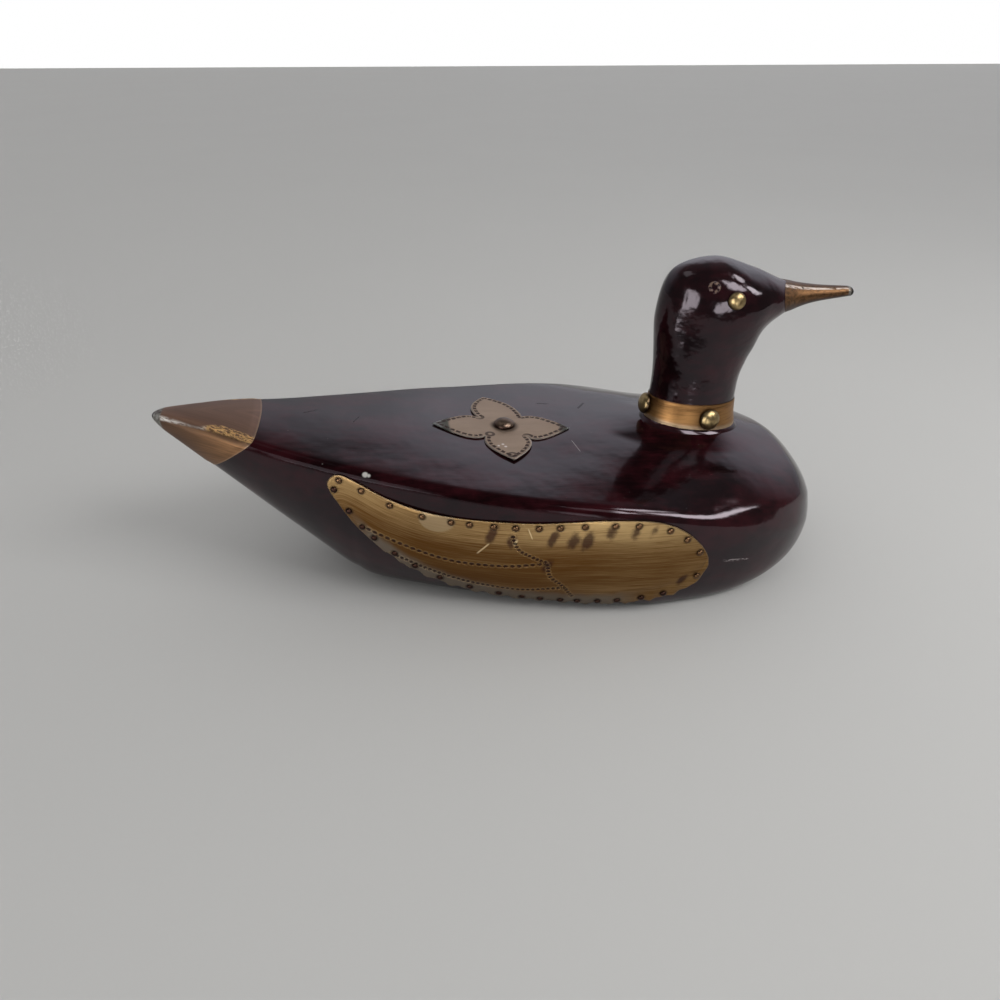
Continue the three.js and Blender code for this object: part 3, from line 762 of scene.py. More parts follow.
class DecoyStage(bpy.types.PropertyGroup):
    """Light on the stage."""

    room: share("Room light", "Level of the light from all round", 0.55)
    front: share("Front", "Level that gloss sees in front of the decoy", 0.1)
    behind: share("Behind", "Level that gloss sees behind the decoy", 1.0)
    panels: share("Panels", "Share of their level that the bright panels have", 1.0)
    key_power: bpy.props.FloatProperty(
        name="Key", description="Power of the large soft lamp", default=4.0, unit="POWER")


# Finishes

LACQUER_SHEEN = colour((1.0, 0.88, 0.97))
LACQUER_IOR = 1.46


def lacquer_material(colours, name, bump_size):
    """Dark red-black gloss: brush strokes along the bird, a cloudy red ground and a little unevenness."""
    made, maker = material(name)
    place = maker.place()
    x, y, z = maker.axes(place)
    strokes = maker.noise(place, (0.02, 0.45, 0.45), 3.0, 0.6)
    cloud = maker.noise(place, (0.03, 0.06, 0.06))
    mottle = maker.noise(place, (0.11, 0.14, 0.14), 3.0, 0.6)
    red = (cloud * 0.45 + mottle * 0.35 + strokes * 0.2).rise(0.40, 0.64)
    return made, maker, SimpleNamespace(
        place=place, x=x, y=y, z=z, strokes=strokes,
        base=maker.mix(red, colours.lacquer_dark, colours.lacquer_red),
        roughness=0.03 + 0.08 * strokes + 0.09 * mottle,
        uneven=maker.noise(place, bump_size),
        crinkle=maker.noise(place, 0.5, 3.0, 0.6),
    )


def body_marks(maker, coat):
    """Masks of the body's wear: chips on the back edge, dust, pale and dark scratches, and dull places."""
    chine = maker.kept("chine")
    on_back = coat.z.rise(40.0, 45.0)
    specks = maker.noise(coat.place, 1.1, 3.0, 0.7).rise(0.66, 0.72) * chine.rise(1.3, 0.4)
    specks = specks * maker.noise(coat.place, (0.04, 0.02, 0.02), 1.0).rise(0.44, 0.56)
    pale = stroke(coat.x, coat.y, *PALE_SCRATCH) * on_back
    dark = strongest(stroke(coat.x, coat.y, *scratch) for scratch in DARK_SCRATCHES) * on_back
    broken = maker.noise(coat.place, (0.5, 0.5, 1.5), 3.0, 0.7).rise(0.44, 0.6)
    scuff = stroke(coat.x, coat.z, *BREAST_SCUFF) * broken * coat.y.rise(-40.0, -50.0)
    worn = chine.rise(4.6, 2.6) * coat.x.rise(42.0, 36.0)
    foot = maker.kept("foot").rise(18.0, 13.0) * coat.y.rise(-6.0, -14.0) * coat.x.rise(106.0, 92.0) * on_back
    return SimpleNamespace(
        chips=strongest(maker.near(coat.place, *chip) for chip in CHIPS).most(0.55 * specks),
        dust=maker.noise(coat.place, 0.8, 2.0, 0.6).rise(0.74, 0.8),
        pale=(0.6 * pale).most(0.8 * scuff),
        dark=dark,
        dull=(0.9 * worn).most(0.85 * foot),
    )


def body_material(colours):
    """Lacquer of the body, chipped on the back edge, scratched, dull on the worn edge and beside the neck."""
    made, maker, coat = lacquer_material(colours, "body lacquer", 0.07)
    marks = body_marks(maker, coat)
    base = maker.layers(
        coat.base,
        (marks.pale, (0.36, 0.32, 0.32)),
        (marks.dark, colours.lacquer_dark),
        (0.3 * marks.dust, (0.2, 0.18, 0.18)),
        (marks.chips, colours.chip),
    )
    roughness = coat.roughness + 0.5 * marks.chips + 0.3 * marks.dark + 0.1 * marks.dust
    height = coat.uneven + 0.05 * coat.strokes + 0.03 * coat.crinkle - 0.5 * marks.chips - 0.2 * marks.dark
    maker.finish(
        base_color=base, roughness=roughness, normal=maker.bump(height, 0.3), ior=LACQUER_IOR,
        specular_tint=LACQUER_SHEEN, dull=marks.dull)
    return made


def head_material(colours):
    """Lacquer of the head, crinkled, with the small round mark behind the right eye."""
    made, maker, coat = lacquer_material(colours, "head lacquer", 0.13)
    ring = maker.ring(coat.place, HEAD_MARK, 2.2, 1.0) * maker.noise(coat.place, 0.9).rise(0.40, 0.55)
    base = maker.mix(0.6 * ring, coat.base, (0.24, 0.16, 0.11))
    height = coat.uneven + 0.1 * coat.crinkle - 0.3 * ring
    maker.finish(
        base_color=base, roughness=coat.roughness + 0.2 * ring, normal=maker.bump(height, 0.35),
        ior=LACQUER_IOR, specular_tint=LACQUER_SHEEN)
    return made


def grain(maker, place, factors):
    """Fine drawn lines and broad cloudiness of rolled sheet."""
    return maker.noise(place, factors, 4.0, 0.7), maker.noise(place, scaled(factors, 0.12))


def wing_material(colours):
    """Golden brown sheet: brushed grain, top and front paler in tone and painted sheen, stains below the
    nails, punched rows, a dull low edge.
    """
    made, maker = material("wing brass")
    place = maker.place()
    x, _, z = maker.axes(place)
    top, rim, low, stain = (maker.kept(name) for name in ("top", "rim", "low", "stain"))
    fine, broad = grain(maker, maker.flat(x, top), (0.045, 1.5, 1.5))
    mottle = maker.noise(place, 0.35, 3.0, 0.6)
    cloud = maker.noise(place, (0.02, 0.06, 0.06))
    run = (maker.kept("punch_step").fraction() - 0.5) * 2.2
    off = maker.kept("punch_off")
    hole = (run * run + off * off) ** 0.5
    punched = hole.rise(1.0, 0.5)
    lip = hole.rise(0.75, 1.05) * hole.rise(1.6, 1.1)
    dirt = (0.85 * punched).most(0.5 * maker.kept("nail").rise(2.3, 1.4))
    nicks = strongest(stroke(x, z, *nick) for nick in WING_NICKS)
    # Lighter toward the top edge and the front: partly the sheet's own tone, partly a painted sheen.
    light = (0.42 + 0.28 * x.rise(-10.0, 35.0)) * top.rise(20.0, 2.0) + 0.14 * x.rise(15.0, 45.0)
    tone = light + 0.9 * (fine - 0.5) + 0.5 * (broad - 0.5) + 0.4 * (cloud - 0.5) + 0.03
    base = maker.layers(
        maker.mix(tone.rise(-0.1, 1.0), colours.wing_brown, colours.wing_gold),
        (0.5 * fine.rise(0.5, 0.3), colours.wing_brown),
        (maker.kept("worn"), (0.46, 0.34, 0.2)),
        (0.9 * low, colours.wing_grey),
        (0.7 * rim.rise(0.5, 0.1), (0.2, 0.15, 0.1)),
        (0.8 * (stain + 0.6 * (mottle - 0.5)).rise(0.2, 0.66), (0.042, 0.016, 0.016)),
        (0.85 * nicks, (0.8, 0.62, 0.36)),
        (dirt, colours.stain),
        (0.2 * lip, colours.wing_gold),
    )
    roughness = 0.38 + 0.14 * fine + 0.2 * dirt + 0.15 * stain + 0.12 * low
    normal = maker.bump(0.06 * fine + 0.2 * lip - 0.9 * punched + 0.1 * broad, 0.3)
    maker.finish(base_color=base, roughness=roughness, metallic=1.0 - 0.15 * dirt, normal=normal)
    return made


def flower_material(colours):
    """Dull tan sheet: faint grain, a pale thin rim, bold dark dashes inside it, grey tips and a dark eye."""
    made, maker = material("flower brass")
    place = maker.place()
    _, y, _ = maker.axes(place)
    fine, broad = grain(maker, place, (0.25, 1.6, 1.6))
    rim, middle = maker.kept("rim"), maker.kept("middle")
    step = maker.kept("round") / DASH_STEP + 0.25 * maker.noise(place, 0.15, 1.0)
    run = (step.fraction() - 0.5) * DASH_STEP
    off = abs(rim - 1.75 + 0.6 * (maker.noise(place, 0.3, 1.0) - 0.5))
    dash = abs(run).rise(1.35, 0.95) * off.rise(0.95, 0.6) * maker.noise(place, 0.7).rise(0.28, 0.4)
    dirt = (0.97 * dash).most(0.75 * middle.rise(7.4, 4.8))
    beside = abs(y).rise(9.0, 6.0)
    rings = strongest(maker.ring(place, at, 2.1, 0.9) for at in FLOWER_RINGS)
    spots = strongest(maker.near(place, at, 0.45, 0.5) for at in FLOWER_SPOTS)
    tone = (0.5 * broad + 0.5 * fine).rise(0.25, 0.75)
    base = maker.layers(
        maker.mix(tone, scaled(colours.flower_tan, 0.78), colours.flower_tan),
        (0.7 * rim.rise(0.7, 0.2), (0.3, 0.27, 0.245)),
        (0.9 * middle.rise(24.5, 26.0) * beside, colours.flower_grey),
        (0.8 * middle.rise(28.0, 29.5) * beside, (0.3, 0.3, 0.29)),
        (0.75 * rings, colours.stain),
        (0.9 * spots, (0.8, 0.74, 0.68)),
        (dirt, colours.stain),
    )
    roughness = 0.5 + 0.12 * fine + 0.2 * dirt
    normal = maker.bump(0.1 * fine - 0.8 * dash + 0.2 * broad, 0.25)
    maker.finish(base_color=base, roughness=roughness, metallic=0.85 - 0.5 * dirt, normal=normal)
    return made


def cap_tip(maker, base, pale, dark):
    """Grey bare end of a cap and its darkened point, from the share of the way to the tip."""
    tip = maker.kept("tip")
    spotted = maker.noise(maker.place(), 0.8, 3.0, 0.6).rise(0.35, 0.6)
    grey = maker.mix(spotted, (0.05, 0.045, 0.04), (0.3, 0.3, 0.27))
    return maker.layers(base, (0.85 * tip.rise(*pale), grey), (tip.rise(*dark), (0.018, 0.013, 0.01)))


def tail_material(colours):
    """Brown sheet drawn lengthwise: dull on top, lighter below, rubbed gold on the edge with a painted white
    highlight toward the tip, dark under it.
    """
    made, maker = material("tail brass")
    x, _, _ = maker.axes(maker.place())
    station = x + HALF_LENGTH
    above, out = maker.kept("above"), maker.kept("out")
    along = maker.flat(x, out + above)
    fine, broad = grain(maker, along, (0.06, 1.5, 1.5))
    ragged = maker.noise(along, (0.45, 1.0, 1.0), 5.0, 0.8)
    below = above.rise(-0.6, -1.6)
    toward = station.rise(31.0, 19.0)
    band = (out + 3.9 * toward).rise(5.4, 4.2) * (1.0 - below)
    pits = maker.noise(along, (0.5, 0.7, 0.7), 3.0, 0.6).rise(0.46, 0.54) * (1.0 - toward) * band
    edge = band * (ragged + 0.04 * toward).rise(0.46, 0.54)
    # Painted highlight: toward the tip the rubbed edge turns near white and less metallic, standing in for a
    # glint on the rounded edge.
    painted_tip_highlight = toward.rise(0.55, 1.0)
    line = above.rise(-0.5, -1.1) * above.rise(-3.2, -2.0) * (0.5 + 0.5 * ragged) * (1.0 - 0.7 * toward)
    tone = (0.4 * broad + 0.6 * fine).rise(0.28, 0.72)
    flank = maker.mix(tone, scaled(colours.tail_tan, 0.36), colours.tail_tan)
    base = maker.layers(
        maker.mix(tone, scaled(colours.tail_brown, 0.6), colours.tail_brown),
        (below, maker.mix(0.7 * station.rise(36.0, 8.0), flank, (0.07, 0.042, 0.034))),
        (0.75 * pits, (0.07, 0.028, 0.01)),
        (0.95 * edge, maker.mix(painted_tip_highlight, colours.rubbed, (1.0, 0.96, 0.9))),
        (0.95 * line, (0.025, 0.011, 0.006)),
        (0.35 * maker.kept("rim").rise(0.9, 0.1), (0.5, 0.36, 0.26)),
    )
    base = cap_tip(maker, base, (0.66, 0.74), (0.94, 1.0))
    roughness = 0.36 + 0.16 * fine - 0.15 * edge
    normal = maker.bump(0.12 * fine + 0.2 * ragged * edge + 0.15 * broad, 0.25)
    maker.finish(base_color=base, roughness=roughness, metallic=0.75 - 0.65 * edge * painted_tip_highlight, normal=normal)
    return made


def bill_material(colours):
    """Brown sheet drawn lengthwise, mottled, with a pale streak on its upper side that is rubbed metal and a
    painted highlight, painted shade below, dark at the tip.
    """
    made, maker = material("bill brass")
    place = maker.place()
    fine, broad = grain(maker, place, (0.15, 1.6, 1.6))
    mottle = maker.noise(place, (0.5, 0.7, 0.7), 4.0, 0.65)
    ragged = maker.noise(place, (0.25, 1.2, 1.2), 4.0, 0.7)
    up = maker.kept("up")
    # Pale streak along the upper side: rubbed metal and a painted highlight, made less metallic so that it
    # stays pale.
    streak = up.rise(0.62, 0.7) * up.rise(0.85, 0.79) * ragged.rise(0.4, 0.54)
    dent = maker.near(place, BILL_DENT, 0.4, 0.6)
    tone = (0.7 * mottle + 0.15 * fine + 0.15 * broad).rise(0.38, 0.58)
    base = maker.layers(
        maker.mix(tone, scaled(colours.bill_brown, 0.42), colours.bill_brown),
        (0.6 * up.rise(0.86, 0.97), (0.09, 0.05, 0.035)),
        (0.8 * streak, (0.85, 0.74, 0.66)),
        # Painted shade: the underside, where the bill faces down, is darkened.
        (0.9 * up.rise(-0.1, -0.55), (0.05, 0.03, 0.024)),
        (0.8 * dent, (0.03, 0.014, 0.008)),
    )
    base = cap_tip(maker, base, (0.72, 0.78), (0.84, 0.89))
    normal = maker.bump(0.12 * fine + 0.3 * mottle - 0.4 * dent, 0.2)
    maker.finish(base_color=base, roughness=0.38 + 0.16 * fine, metallic=0.85 - 0.65 * streak, normal=normal)
    return made


def collar_material(colours):
    """Orange brass strip, drawn round the neck in bold grain, with a dark rim and a painted highlight along
    the foot.
    """
    made, maker = material("collar brass")
    place = maker.place()
    fine, broad = grain(maker, place, (0.12, 0.12, 1.5))
    streak = maker.noise(place, (0.06, 0.06, 0.9), 3.0, 0.7)
    tone = (0.3 * broad + 0.35 * fine + 0.35 * streak).rise(0.34, 0.62)
    base = maker.layers(
        maker.mix(tone, colours.collar_brown, colours.collar_gold),
        # Painted highlight: a pale band along the strip's lower edge, within about 2.4 mm of the foot.
        (0.5 * maker.kept("to_foot").rise(2.4, 0.4), (0.8, 0.62, 0.42)),
        (0.8 * maker.kept("to_rim").rise(0.6, 0.1), colours.stain),
    )
    normal = maker.bump(0.12 * fine + 0.15 * streak, 0.25)
    maker.finish(base_color=base, roughness=0.36 + 0.14 * fine, metallic=0.9, normal=normal)
    return made


def tack_material(colours, name, brass, dark):
    """Antique metal of a domed head: bright on the dome, with painted shade darkening it toward the foot."""
    made, maker = material(name)
    mottle = maker.noise(maker.place(), 0.7, 3.0, 0.6)
    base = maker.mix(mottle.rise(0.3, 0.7), scaled(brass, 0.6), brass)
    # Painted shade: the lower, steeper half of the dome is darkened toward the foot, by the share dark.
    base = maker.mix(maker.kept("dome").rise(0.55, 0.05) * dark, base, colours.stain)
    normal = maker.bump(mottle, 0.06)
    maker.finish(base_color=base, roughness=0.27 + 0.14 * mottle, metallic=0.95, normal=normal)
    return made


def dowel_material(colours):
    """Bare turned wood: growth rings as bands across the stick, with fine pores along it."""
    made, maker = material("dowel wood")
    place = maker.place()
    bands = maker.noise(place, (0.5, 0.08, 0.02))
    pores = maker.noise(place, (1.6, 1.6, 0.12), 3.0)
    tone = (0.7 * bands + 0.3 * pores).rise(0.3, 0.7)
    base = maker.mix(tone, scaled(colours.dowel_wood, 0.6), colours.dowel_wood)
    maker.finish(base_color=base, roughness=0.6 + 0.2 * pores, normal=maker.bump(pores, 0.2))
    return made


# Forms of the pieces

def full_turn(count):
    return TURN * np.arange(count) / count


def there_and_back(values, axis):
    """Numbers kept on the outer face of a sheet, and again in turned order for its inner face."""
    return {key: np.concatenate([value, np.flip(value, axis)], axis) for key, value in values.items()}


def body_rings():
    """Rings of the body from tail to breast: cosine steps at the tip, then even ones, then quarter-sine."""
    widest = BODY_LENGTH - BREAST_LENGTH
    tip, start = TAIL_NOSE
    nose = start - (start - tip) * np.cos(math.pi / 2.0 * np.arange(TIP_ROWS) / TIP_ROWS)
    tail = start + (BASE_REAR_STATION - start) * np.arange(TAIL_ROWS) / TAIL_ROWS
    middle = BASE_REAR_STATION + (widest - BASE_REAR_STATION) * np.arange(MIDDLE_ROWS) / MIDDLE_ROWS
    breast = widest + BREAST_LENGTH * np.sin(math.pi / 2.0 * np.arange(BREAST_ROWS) / BREAST_ROWS)
    stations = np.concatenate([nose, tail, middle, breast])[:, None]
    laps, sides = ring_laps()
    return body_point(stations, laps, sides)


def tail_tip():
    tip = np.array(TAIL_NOSE[0])
    return np.array([tip, 0.0, body_rails(tip).edge])


def chine_distance(points):
    """Distance of each point from the line of the back edge, in the plane of its section."""
    rail = body_rails(points[..., 0])
    return np.hypot(np.abs(points[..., 1]) - rail.half_width, points[..., 2] - rail.edge)


def neck_gap(points):
    """About how far points of the back lie from the oval of the neck's foot: r (d - 1), d the share of it."""
    across = (points[..., 0] - NECK_STATION - NECK_OVAL_FORWARD) / NECK_OVAL_HALF_LENGTH
    return (np.hypot(across, points[..., 1] / NECK_OVAL_HALF_WIDTH) - 1.0) * NECK_OVAL_RADIUS


def neck_fillet(points):
    """Lacquer built up round the foot of the neck: h (1 - d / r)^2, d the way out from the neck's oval."""
    on_back = smooth_step(30.0, 40.0, points[..., 2])
    return FILLET_HEIGHT * on_back * (1.0 - np.clip(neck_gap(points) / FILLET_REACH, 0.0, 1.0)) ** 2


def neck_shares(turns, height, slope):
    """Shares of the head's line where a plane that falls forward by a slope cuts the neck."""

    def under(along):
        points = head_point(along, turns)
        return seat_height() + height - math.tan(slope) * (points[..., 0] - NECK_STATION) - points[..., 2]

    return bisect(under, np.zeros_like(turns), np.full_like(turns, 0.3))


def foot_bead():
    """Bead of lacquer under the collar: sections |u|^p + |v|^p = 1 that reach out and down round the neck."""
    turns = full_turn(COLLAR_COLUMNS)
    foot = head_point(neck_shares(turns, COLLAR_FOOT_HEIGHT, COLLAR_FOOT_SLOPE), turns)
    along = np.roll(foot, -1, axis=0) - np.roll(foot, 1, axis=0)
    out = np.stack([along[:, 1], -along[:, 0], np.zeros(len(along))], axis=-1)
    out = unit(out) * np.sign(np.sum(out * (foot - foot.mean(axis=0))))
    angle = full_turn(BEAD_COLUMNS)
    circle = (np.cos(angle), np.sin(angle))
    reach, rise = (np.sign(part) * np.abs(part) ** (2.0 / BEAD_POWER) for part in circle)
    up = np.array([0.0, 0.0, BEAD_HEIGHT])
    return (foot - up)[:, None] + BEAD_REACH * reach[:, None] * out[:, None] + rise[:, None] * up


def shell(rings, tip, sheet, values):
    """Cup over rings that run from its rim to its tip: inner face out to the rim, then outer face back.

    The outer face is worn thin at the rim and swells to the full sheet by a soft step of the way from it.
    The numbers kept on the rings come back for both faces.
    """
    out = outward(rings)
    forward = unit(tip - rings[-1].mean(axis=0))
    away = np.linalg.norm(rings - rings[0], axis=-1, keepdims=True)
    swell = sheet * (0.2 + 0.8 * smooth_step(0.0, 4.0, away))
    inner, outer = rings + SHEET_CLEARANCE * out, rings + swell * out
    tips = np.array([tip + SHEET_CLEARANCE * forward, tip + sheet * forward])
    kept = there_and_back({key: value[::-1] for key, value in values.items()}, 0)
    return np.concatenate([inner[::-1], outer]), tips, kept


def plane_side(points, way, rake, station, height, skew=0.0):
    """How far points lie past a plane that faces forward or back (way 1 or -1), raked, then skewed."""
    along = way * math.cos(rake)
    facing = np.array([along * math.cos(skew), along * math.sin(skew), -way * math.sin(rake)])
    return (points - (station, 0.0, height)) @ facing


def wing_outline():
    """Closed centripetal Catmull-Rom curve through the wing's corners, as stations and heights."""
    corners = np.array(WING_OUTLINE)
    corners[:, 1] = smooth_through(BACK_EDGE_HEIGHTS, corners[:, 0]) - corners[:, 1]
    before, start, end, after = (np.roll(corners, shift, axis=0) for shift in (1, 0, -1, -2))
    pairs = ((before, start), (start, end), (end, after))
    first, own, last = (np.linalg.norm(b - a, axis=1, keepdims=True) ** 0.5 for a, b in pairs)
    leave = (start - before) / first - (end - before) / (first + own) + (end - start) / own
    arrive = (end - start) / own - (after - start) / (own + last) + (after - end) / last
    spans = (a[:, None, :] for a in (start, end, leave * own, arrive * own))
    t = (np.arange(OUTLINE_STEPS) / OUTLINE_STEPS)[None, :, None]
    return hermite(*spans, t).reshape(-1, 2)


def wing_nail_places():
    """Places of the nails, at their shares of the outline and a little inside it."""
    line = wing_outline()
    closed = np.concatenate([line, line[:1]])
    run = run_along(closed)
    at = np.array(WING_TOP_NAILS + WING_LOWER_NAILS) * run[-1]
    step = 0.2
    point, ahead, behind = (
        np.stack([np.interp(at + d, run, closed[:, i]) for i in (0, 1)], axis=-1) for d in (0.0, step, -step))
    along = unit(ahead - behind)
    return point + np.stack([along[:, 1], -along[:, 0]], axis=-1) * WING_NAIL_INSET


def slopes(function, first, second):
    """Slopes of a function of two numbers along each of them, by central differences."""
    by_first = function(first + SLOPE_STEP, second) - function(first - SLOPE_STEP, second)
    by_second = function(first, second + SLOPE_STEP) - function(first, second - SLOPE_STEP)
    return by_first / (2.0 * SLOPE_STEP), by_second / (2.0 * SLOPE_STEP)


def flank_seat(places, side):
    """Points of the flank at stations and heights, with the way the flank faces there."""
    station, height = places[..., 0], places[..., 1]
    breadth = flank_breadth(station, height)
    by_station, by_height = slopes(flank_breadth, station, height)
    out = np.stack([-by_station, np.full_like(breadth, side), -by_height], axis=-1)
    return np.stack([station, side * breadth, height], axis=-1), unit(out)


def back_seat(station, breadth):
    """Points of the back at stations and breadths, with the way the back faces there."""
    by_station, by_breadth = slopes(back_height, station, breadth)
    out = np.stack([-by_station, -by_breadth, np.ones_like(by_station)], axis=-1)
    return np.stack([station, breadth, back_height(station, breadth)], axis=-1), unit(out)


def nearest(points, line):
    """Distance from each point to a row of points, and the number of the nearest one."""
    flat = points.reshape(-1, 2)
    gap = np.linalg.norm(flat[:, None, :] - line[None, :, :], axis=-1)
    return gap.min(axis=1).reshape(points.shape[:-1]), gap.argmin(axis=1).reshape(points.shape[:-1])


def punch_marks(places):
    """Off-line distance to the nearest punched row, and the count of steps along it."""
    best = np.full(places.shape[:-1], BODY_LENGTH)
    steps = np.zeros_like(best)
    for step, corners in PUNCHED_ROWS:
        line = spline(corners, np.linspace(0.0, 1.0, 400))
        off, number = nearest(places, line)
        closer = off < best
        best = np.where(closer, off, best)
        steps = np.where(closer, run_along(line)[number] / step, steps)
    return best, steps


def stains(places):
    """Dark runs below some nails: soft slanting ovals, exp of minus the squared distance in their axes."""
    draw = np.random.default_rng(4)
    total = np.zeros(places.shape[:-1])
    for station, height, strength in STAINS:
        lean = draw.uniform(0.1, 0.35)
        across = (places[..., 0] - station - lean * (places[..., 1] - height)) / draw.uniform(1.9, 2.9)
        along = (places[..., 1] - height) / draw.uniform(3.8, 5.4)
        total = np.maximum(total, strength * np.exp(-across ** 2 - along ** 2))
    return total


def wing_edges():
    """Upper and lower edges of a wing, each from its rear end to its front end."""
    line = wing_outline()
    rear, front = line[:, 0].argmin(), line[:, 0].argmax()
    order = np.roll(np.arange(len(line)), -rear)
    turn = (front - rear) % len(line)
    return line[order[:turn + 1]], line[np.append(order[turn:], order[0])][::-1]


def wing_marks(places, above, rim, top):
    """Numbers kept on a wing's sheet for its finish."""
    station, height = places[..., 0], places[..., 1]
    off, steps = punch_marks(places)
    patch = ((places - WORN_PATCH_MIDDLE) / WORN_PATCH_SIZE) ** 2
    low = smooth_step(9.0, 4.0, above) * smooth_step(78.0, 90.0, station)
    return {
        "rim": rim,
        "low": low * smooth_step(205.0, 185.0, station),
        "stain": stains(places),
        "nail": nearest(places, wing_nail_places())[0],
        "punch_off": off,
        "punch_step": steps,
        "top": np.interp(np.minimum(station, STRAIGHT_GRAIN_END), *top.T) - height,
        "worn": 0.7 * smooth_step(1.15, 0.95, patch.sum(axis=-1)),
    }


def wing_rings(side, sizes):
    """Sheet of a wing: columns along the station, rows from lower to upper edge and back underneath.

    The lower edge waves by a sine, and the sheet is pressed into a groove above it.
    """
    top, bottom = wing_edges()
    middle, reach = (top[0, 0] + top[-1, 0]) / 2.0, (top[-1, 0] - top[0, 0]) / 2.0
    station = (middle - (reach - 0.02) * np.cos(np.linspace(0.0, math.pi, WING_COLUMNS)))[:, None]
    ripple = sizes.ripple / MM
    beat = np.sin(station * TURN / 9.5) + 0.6 * np.sin(station * TURN / 5.3 + 1.0)
    upper = np.interp(station, *top.T)
    lower = np.interp(station, *bottom.T) + 0.4 * ripple * beat * smooth_step(72.0, 100.0, station)
    even = np.linspace(0.0, 1.0, WING_ROWS)
    crowded = 0.35 * even + 0.65 * (1.0 - np.cos(math.pi * even)) / 2.0
    height = lower + (upper - lower) * crowded
    places = np.stack(np.broadcast_arrays(station, height), axis=-1)
    point, out = flank_seat(places, side)
    rim, _ = nearest(places, wing_outline()[::2])
    above = height - lower
    wave = ripple * (0.5 + 0.5 * np.roll(beat, 5, axis=0)) * np.exp(-above / 2.5)
    wave = wave * smooth_step(80.0, 110.0, station)
    groove = -0.22 * np.exp(-((above - 6.0) / 1.6) ** 2) * smooth_step(90.0, 120.0, station)
    uneven = 0.1 * waves(point, 22.0, 11)
    gap, sheet = sizes.sheet_gap / MM, sizes.sheet / MM
    rise = (wave + groove + uneven) * smooth_step(0.0, 1.5, upper - height)
    worn_edge = 0.3 * sheet * (1.0 - smooth_step(0.0, 0.5, rim))
    outer = point + out * (gap + sheet + np.maximum(rise - worn_edge, -0.25))[..., None]
    inner = point + out * gap
    rings = np.concatenate([outer, inner[:, ::-1]], axis=1)
    ends = np.array([rings[0].mean(axis=0), rings[-1].mean(axis=0)])
    return rings, ends, there_and_back(wing_marks(places, above, rim, top), 1)


def petal_outline():
    """Outline of the flower: two quadratic Beziers a petal, from notch to tip and on to the next notch."""

    def polar(radius, angle):
        return radius * np.array([math.cos(angle), math.sin(angle)])

    onward = np.append(PETAL_DIRECTIONS[1:], PETAL_DIRECTIONS[0] + TURN)
    notches = (PETAL_DIRECTIONS + onward) / 2.0
    t = (np.arange(PETAL_STEPS) / PETAL_STEPS)[:, None]
    spans = []
    for i, angle in enumerate(PETAL_DIRECTIONS):
        along = PETAL_SHOULDERS[i] * PETAL_LENGTHS[i]
        shoulder = math.atan2(PETAL_BULGES[i], along)
        radius = math.hypot(PETAL_BULGES[i], along)
        notch, ahead = (polar(PETAL_NOTCH_RADIUS, a) for a in (notches[i - 1], notches[i]))
        tip = polar(PETAL_LENGTHS[i], angle)
        for start, turn, end in ((notch, -shoulder, tip), (tip, shoulder, ahead)):
            bend = polar(radius, angle + turn)
            spans.append((1.0 - t) ** 2 * start + 2.0 * t * (1.0 - t) * bend + t * t * end)
    return np.concatenate(spans)


def flower_rings(sizes):
    """Sheet of the flower: its outline drawn in toward the middle, laid on the back, and back underneath."""
    line = petal_outline()
    even = np.linspace(0.0, 1.0, FLOWER_ROWS)
    inward = 1.0 - (1.0 - even) ** 2 * 0.5 - (1.0 - even) * 0.5
    plan = line[:, None, :] * (0.05 + 0.95 * inward)[None, :, None]
    point, out = back_seat(FLOWER_STATION + plan[..., 0], plan[..., 1])
    rim, number = nearest(plan, line)
    middle = np.linalg.norm(plan, axis=-1)
    gap, sheet = sizes.sheet_gap / MM, sizes.sheet / MM
    lift = np.maximum(0.15 * smooth_step(18.0, 31.0, middle) + 0.08 * waves(point, 14.0, 5), 0.0)
    worn_edge = 0.35 * sheet * (1.0 - smooth_step(0.0, 0.6, rim))
    outer = point + out * (gap + sheet + lift - worn_edge)[..., None]
    inner = point + out * (gap + lift)[..., None]
    kept = there_and_back({"rim": rim, "round": run_along(line)[number], "middle": middle}, 1)
    return np.concatenate([outer, inner[:, ::-1]], axis=1), kept


def tack_rings(radius, height, columns):
    """Domed head about the upright axis: a short foot, then r cos(angle) out and h sin(angle) up."""
    angle = np.linspace(0.0, math.pi / 2.0, 12)[:-1]
    foot = np.array([(0.82 * radius, -TACK_FOOT), (0.97 * radius, -0.4 * TACK_FOOT)])
    dome = np.stack([radius * np.cos(angle), height * np.sin(angle)], axis=-1)
    out, up = np.concatenate([foot, dome]).T[..., None]
    turn = full_turn(columns)
    up = np.repeat(up, columns, axis=1)
    rings = np.stack([out * np.cos(turn), out * np.sin(turn), up], axis=-1)
    tips = np.array([(0.0, 0.0, -TACK_FOOT), (0.0, 0.0, height)])
    return rings, tips, np.clip(up / height, 0.0, 1.0)


def stand(points, seat, out):
    """Moves points made about the upright axis so that they stand on a seat along its normal."""
    helper = np.array([1.0, 0.0, 0.0]) if abs(out[0]) < 0.9 else np.array([0.0, 1.0, 0.0])
    first = unit(np.cross(helper, out))
    return seat + points @ np.stack([first, np.cross(out, first), out])


def seat_on_line(points, out, origin, direction):
    """Point of a grid nearest to a line that comes in from outside, with the way the grid faces there."""
    flat, facing = points.reshape(-1, 3), out.reshape(-1, 3)
    along = (flat - origin) @ direction
    off = np.linalg.norm(flat - origin - along[:, None] * direction, axis=1)
    off = np.where(facing @ direction < 0.0, off, np.inf)
    best = off.argmin()
    return flat[best], facing[best]


# Operators

def settings(context):
    return context.scene.decoy_sizes, context.scene.decoy_colours, context.scene.decoy_stage


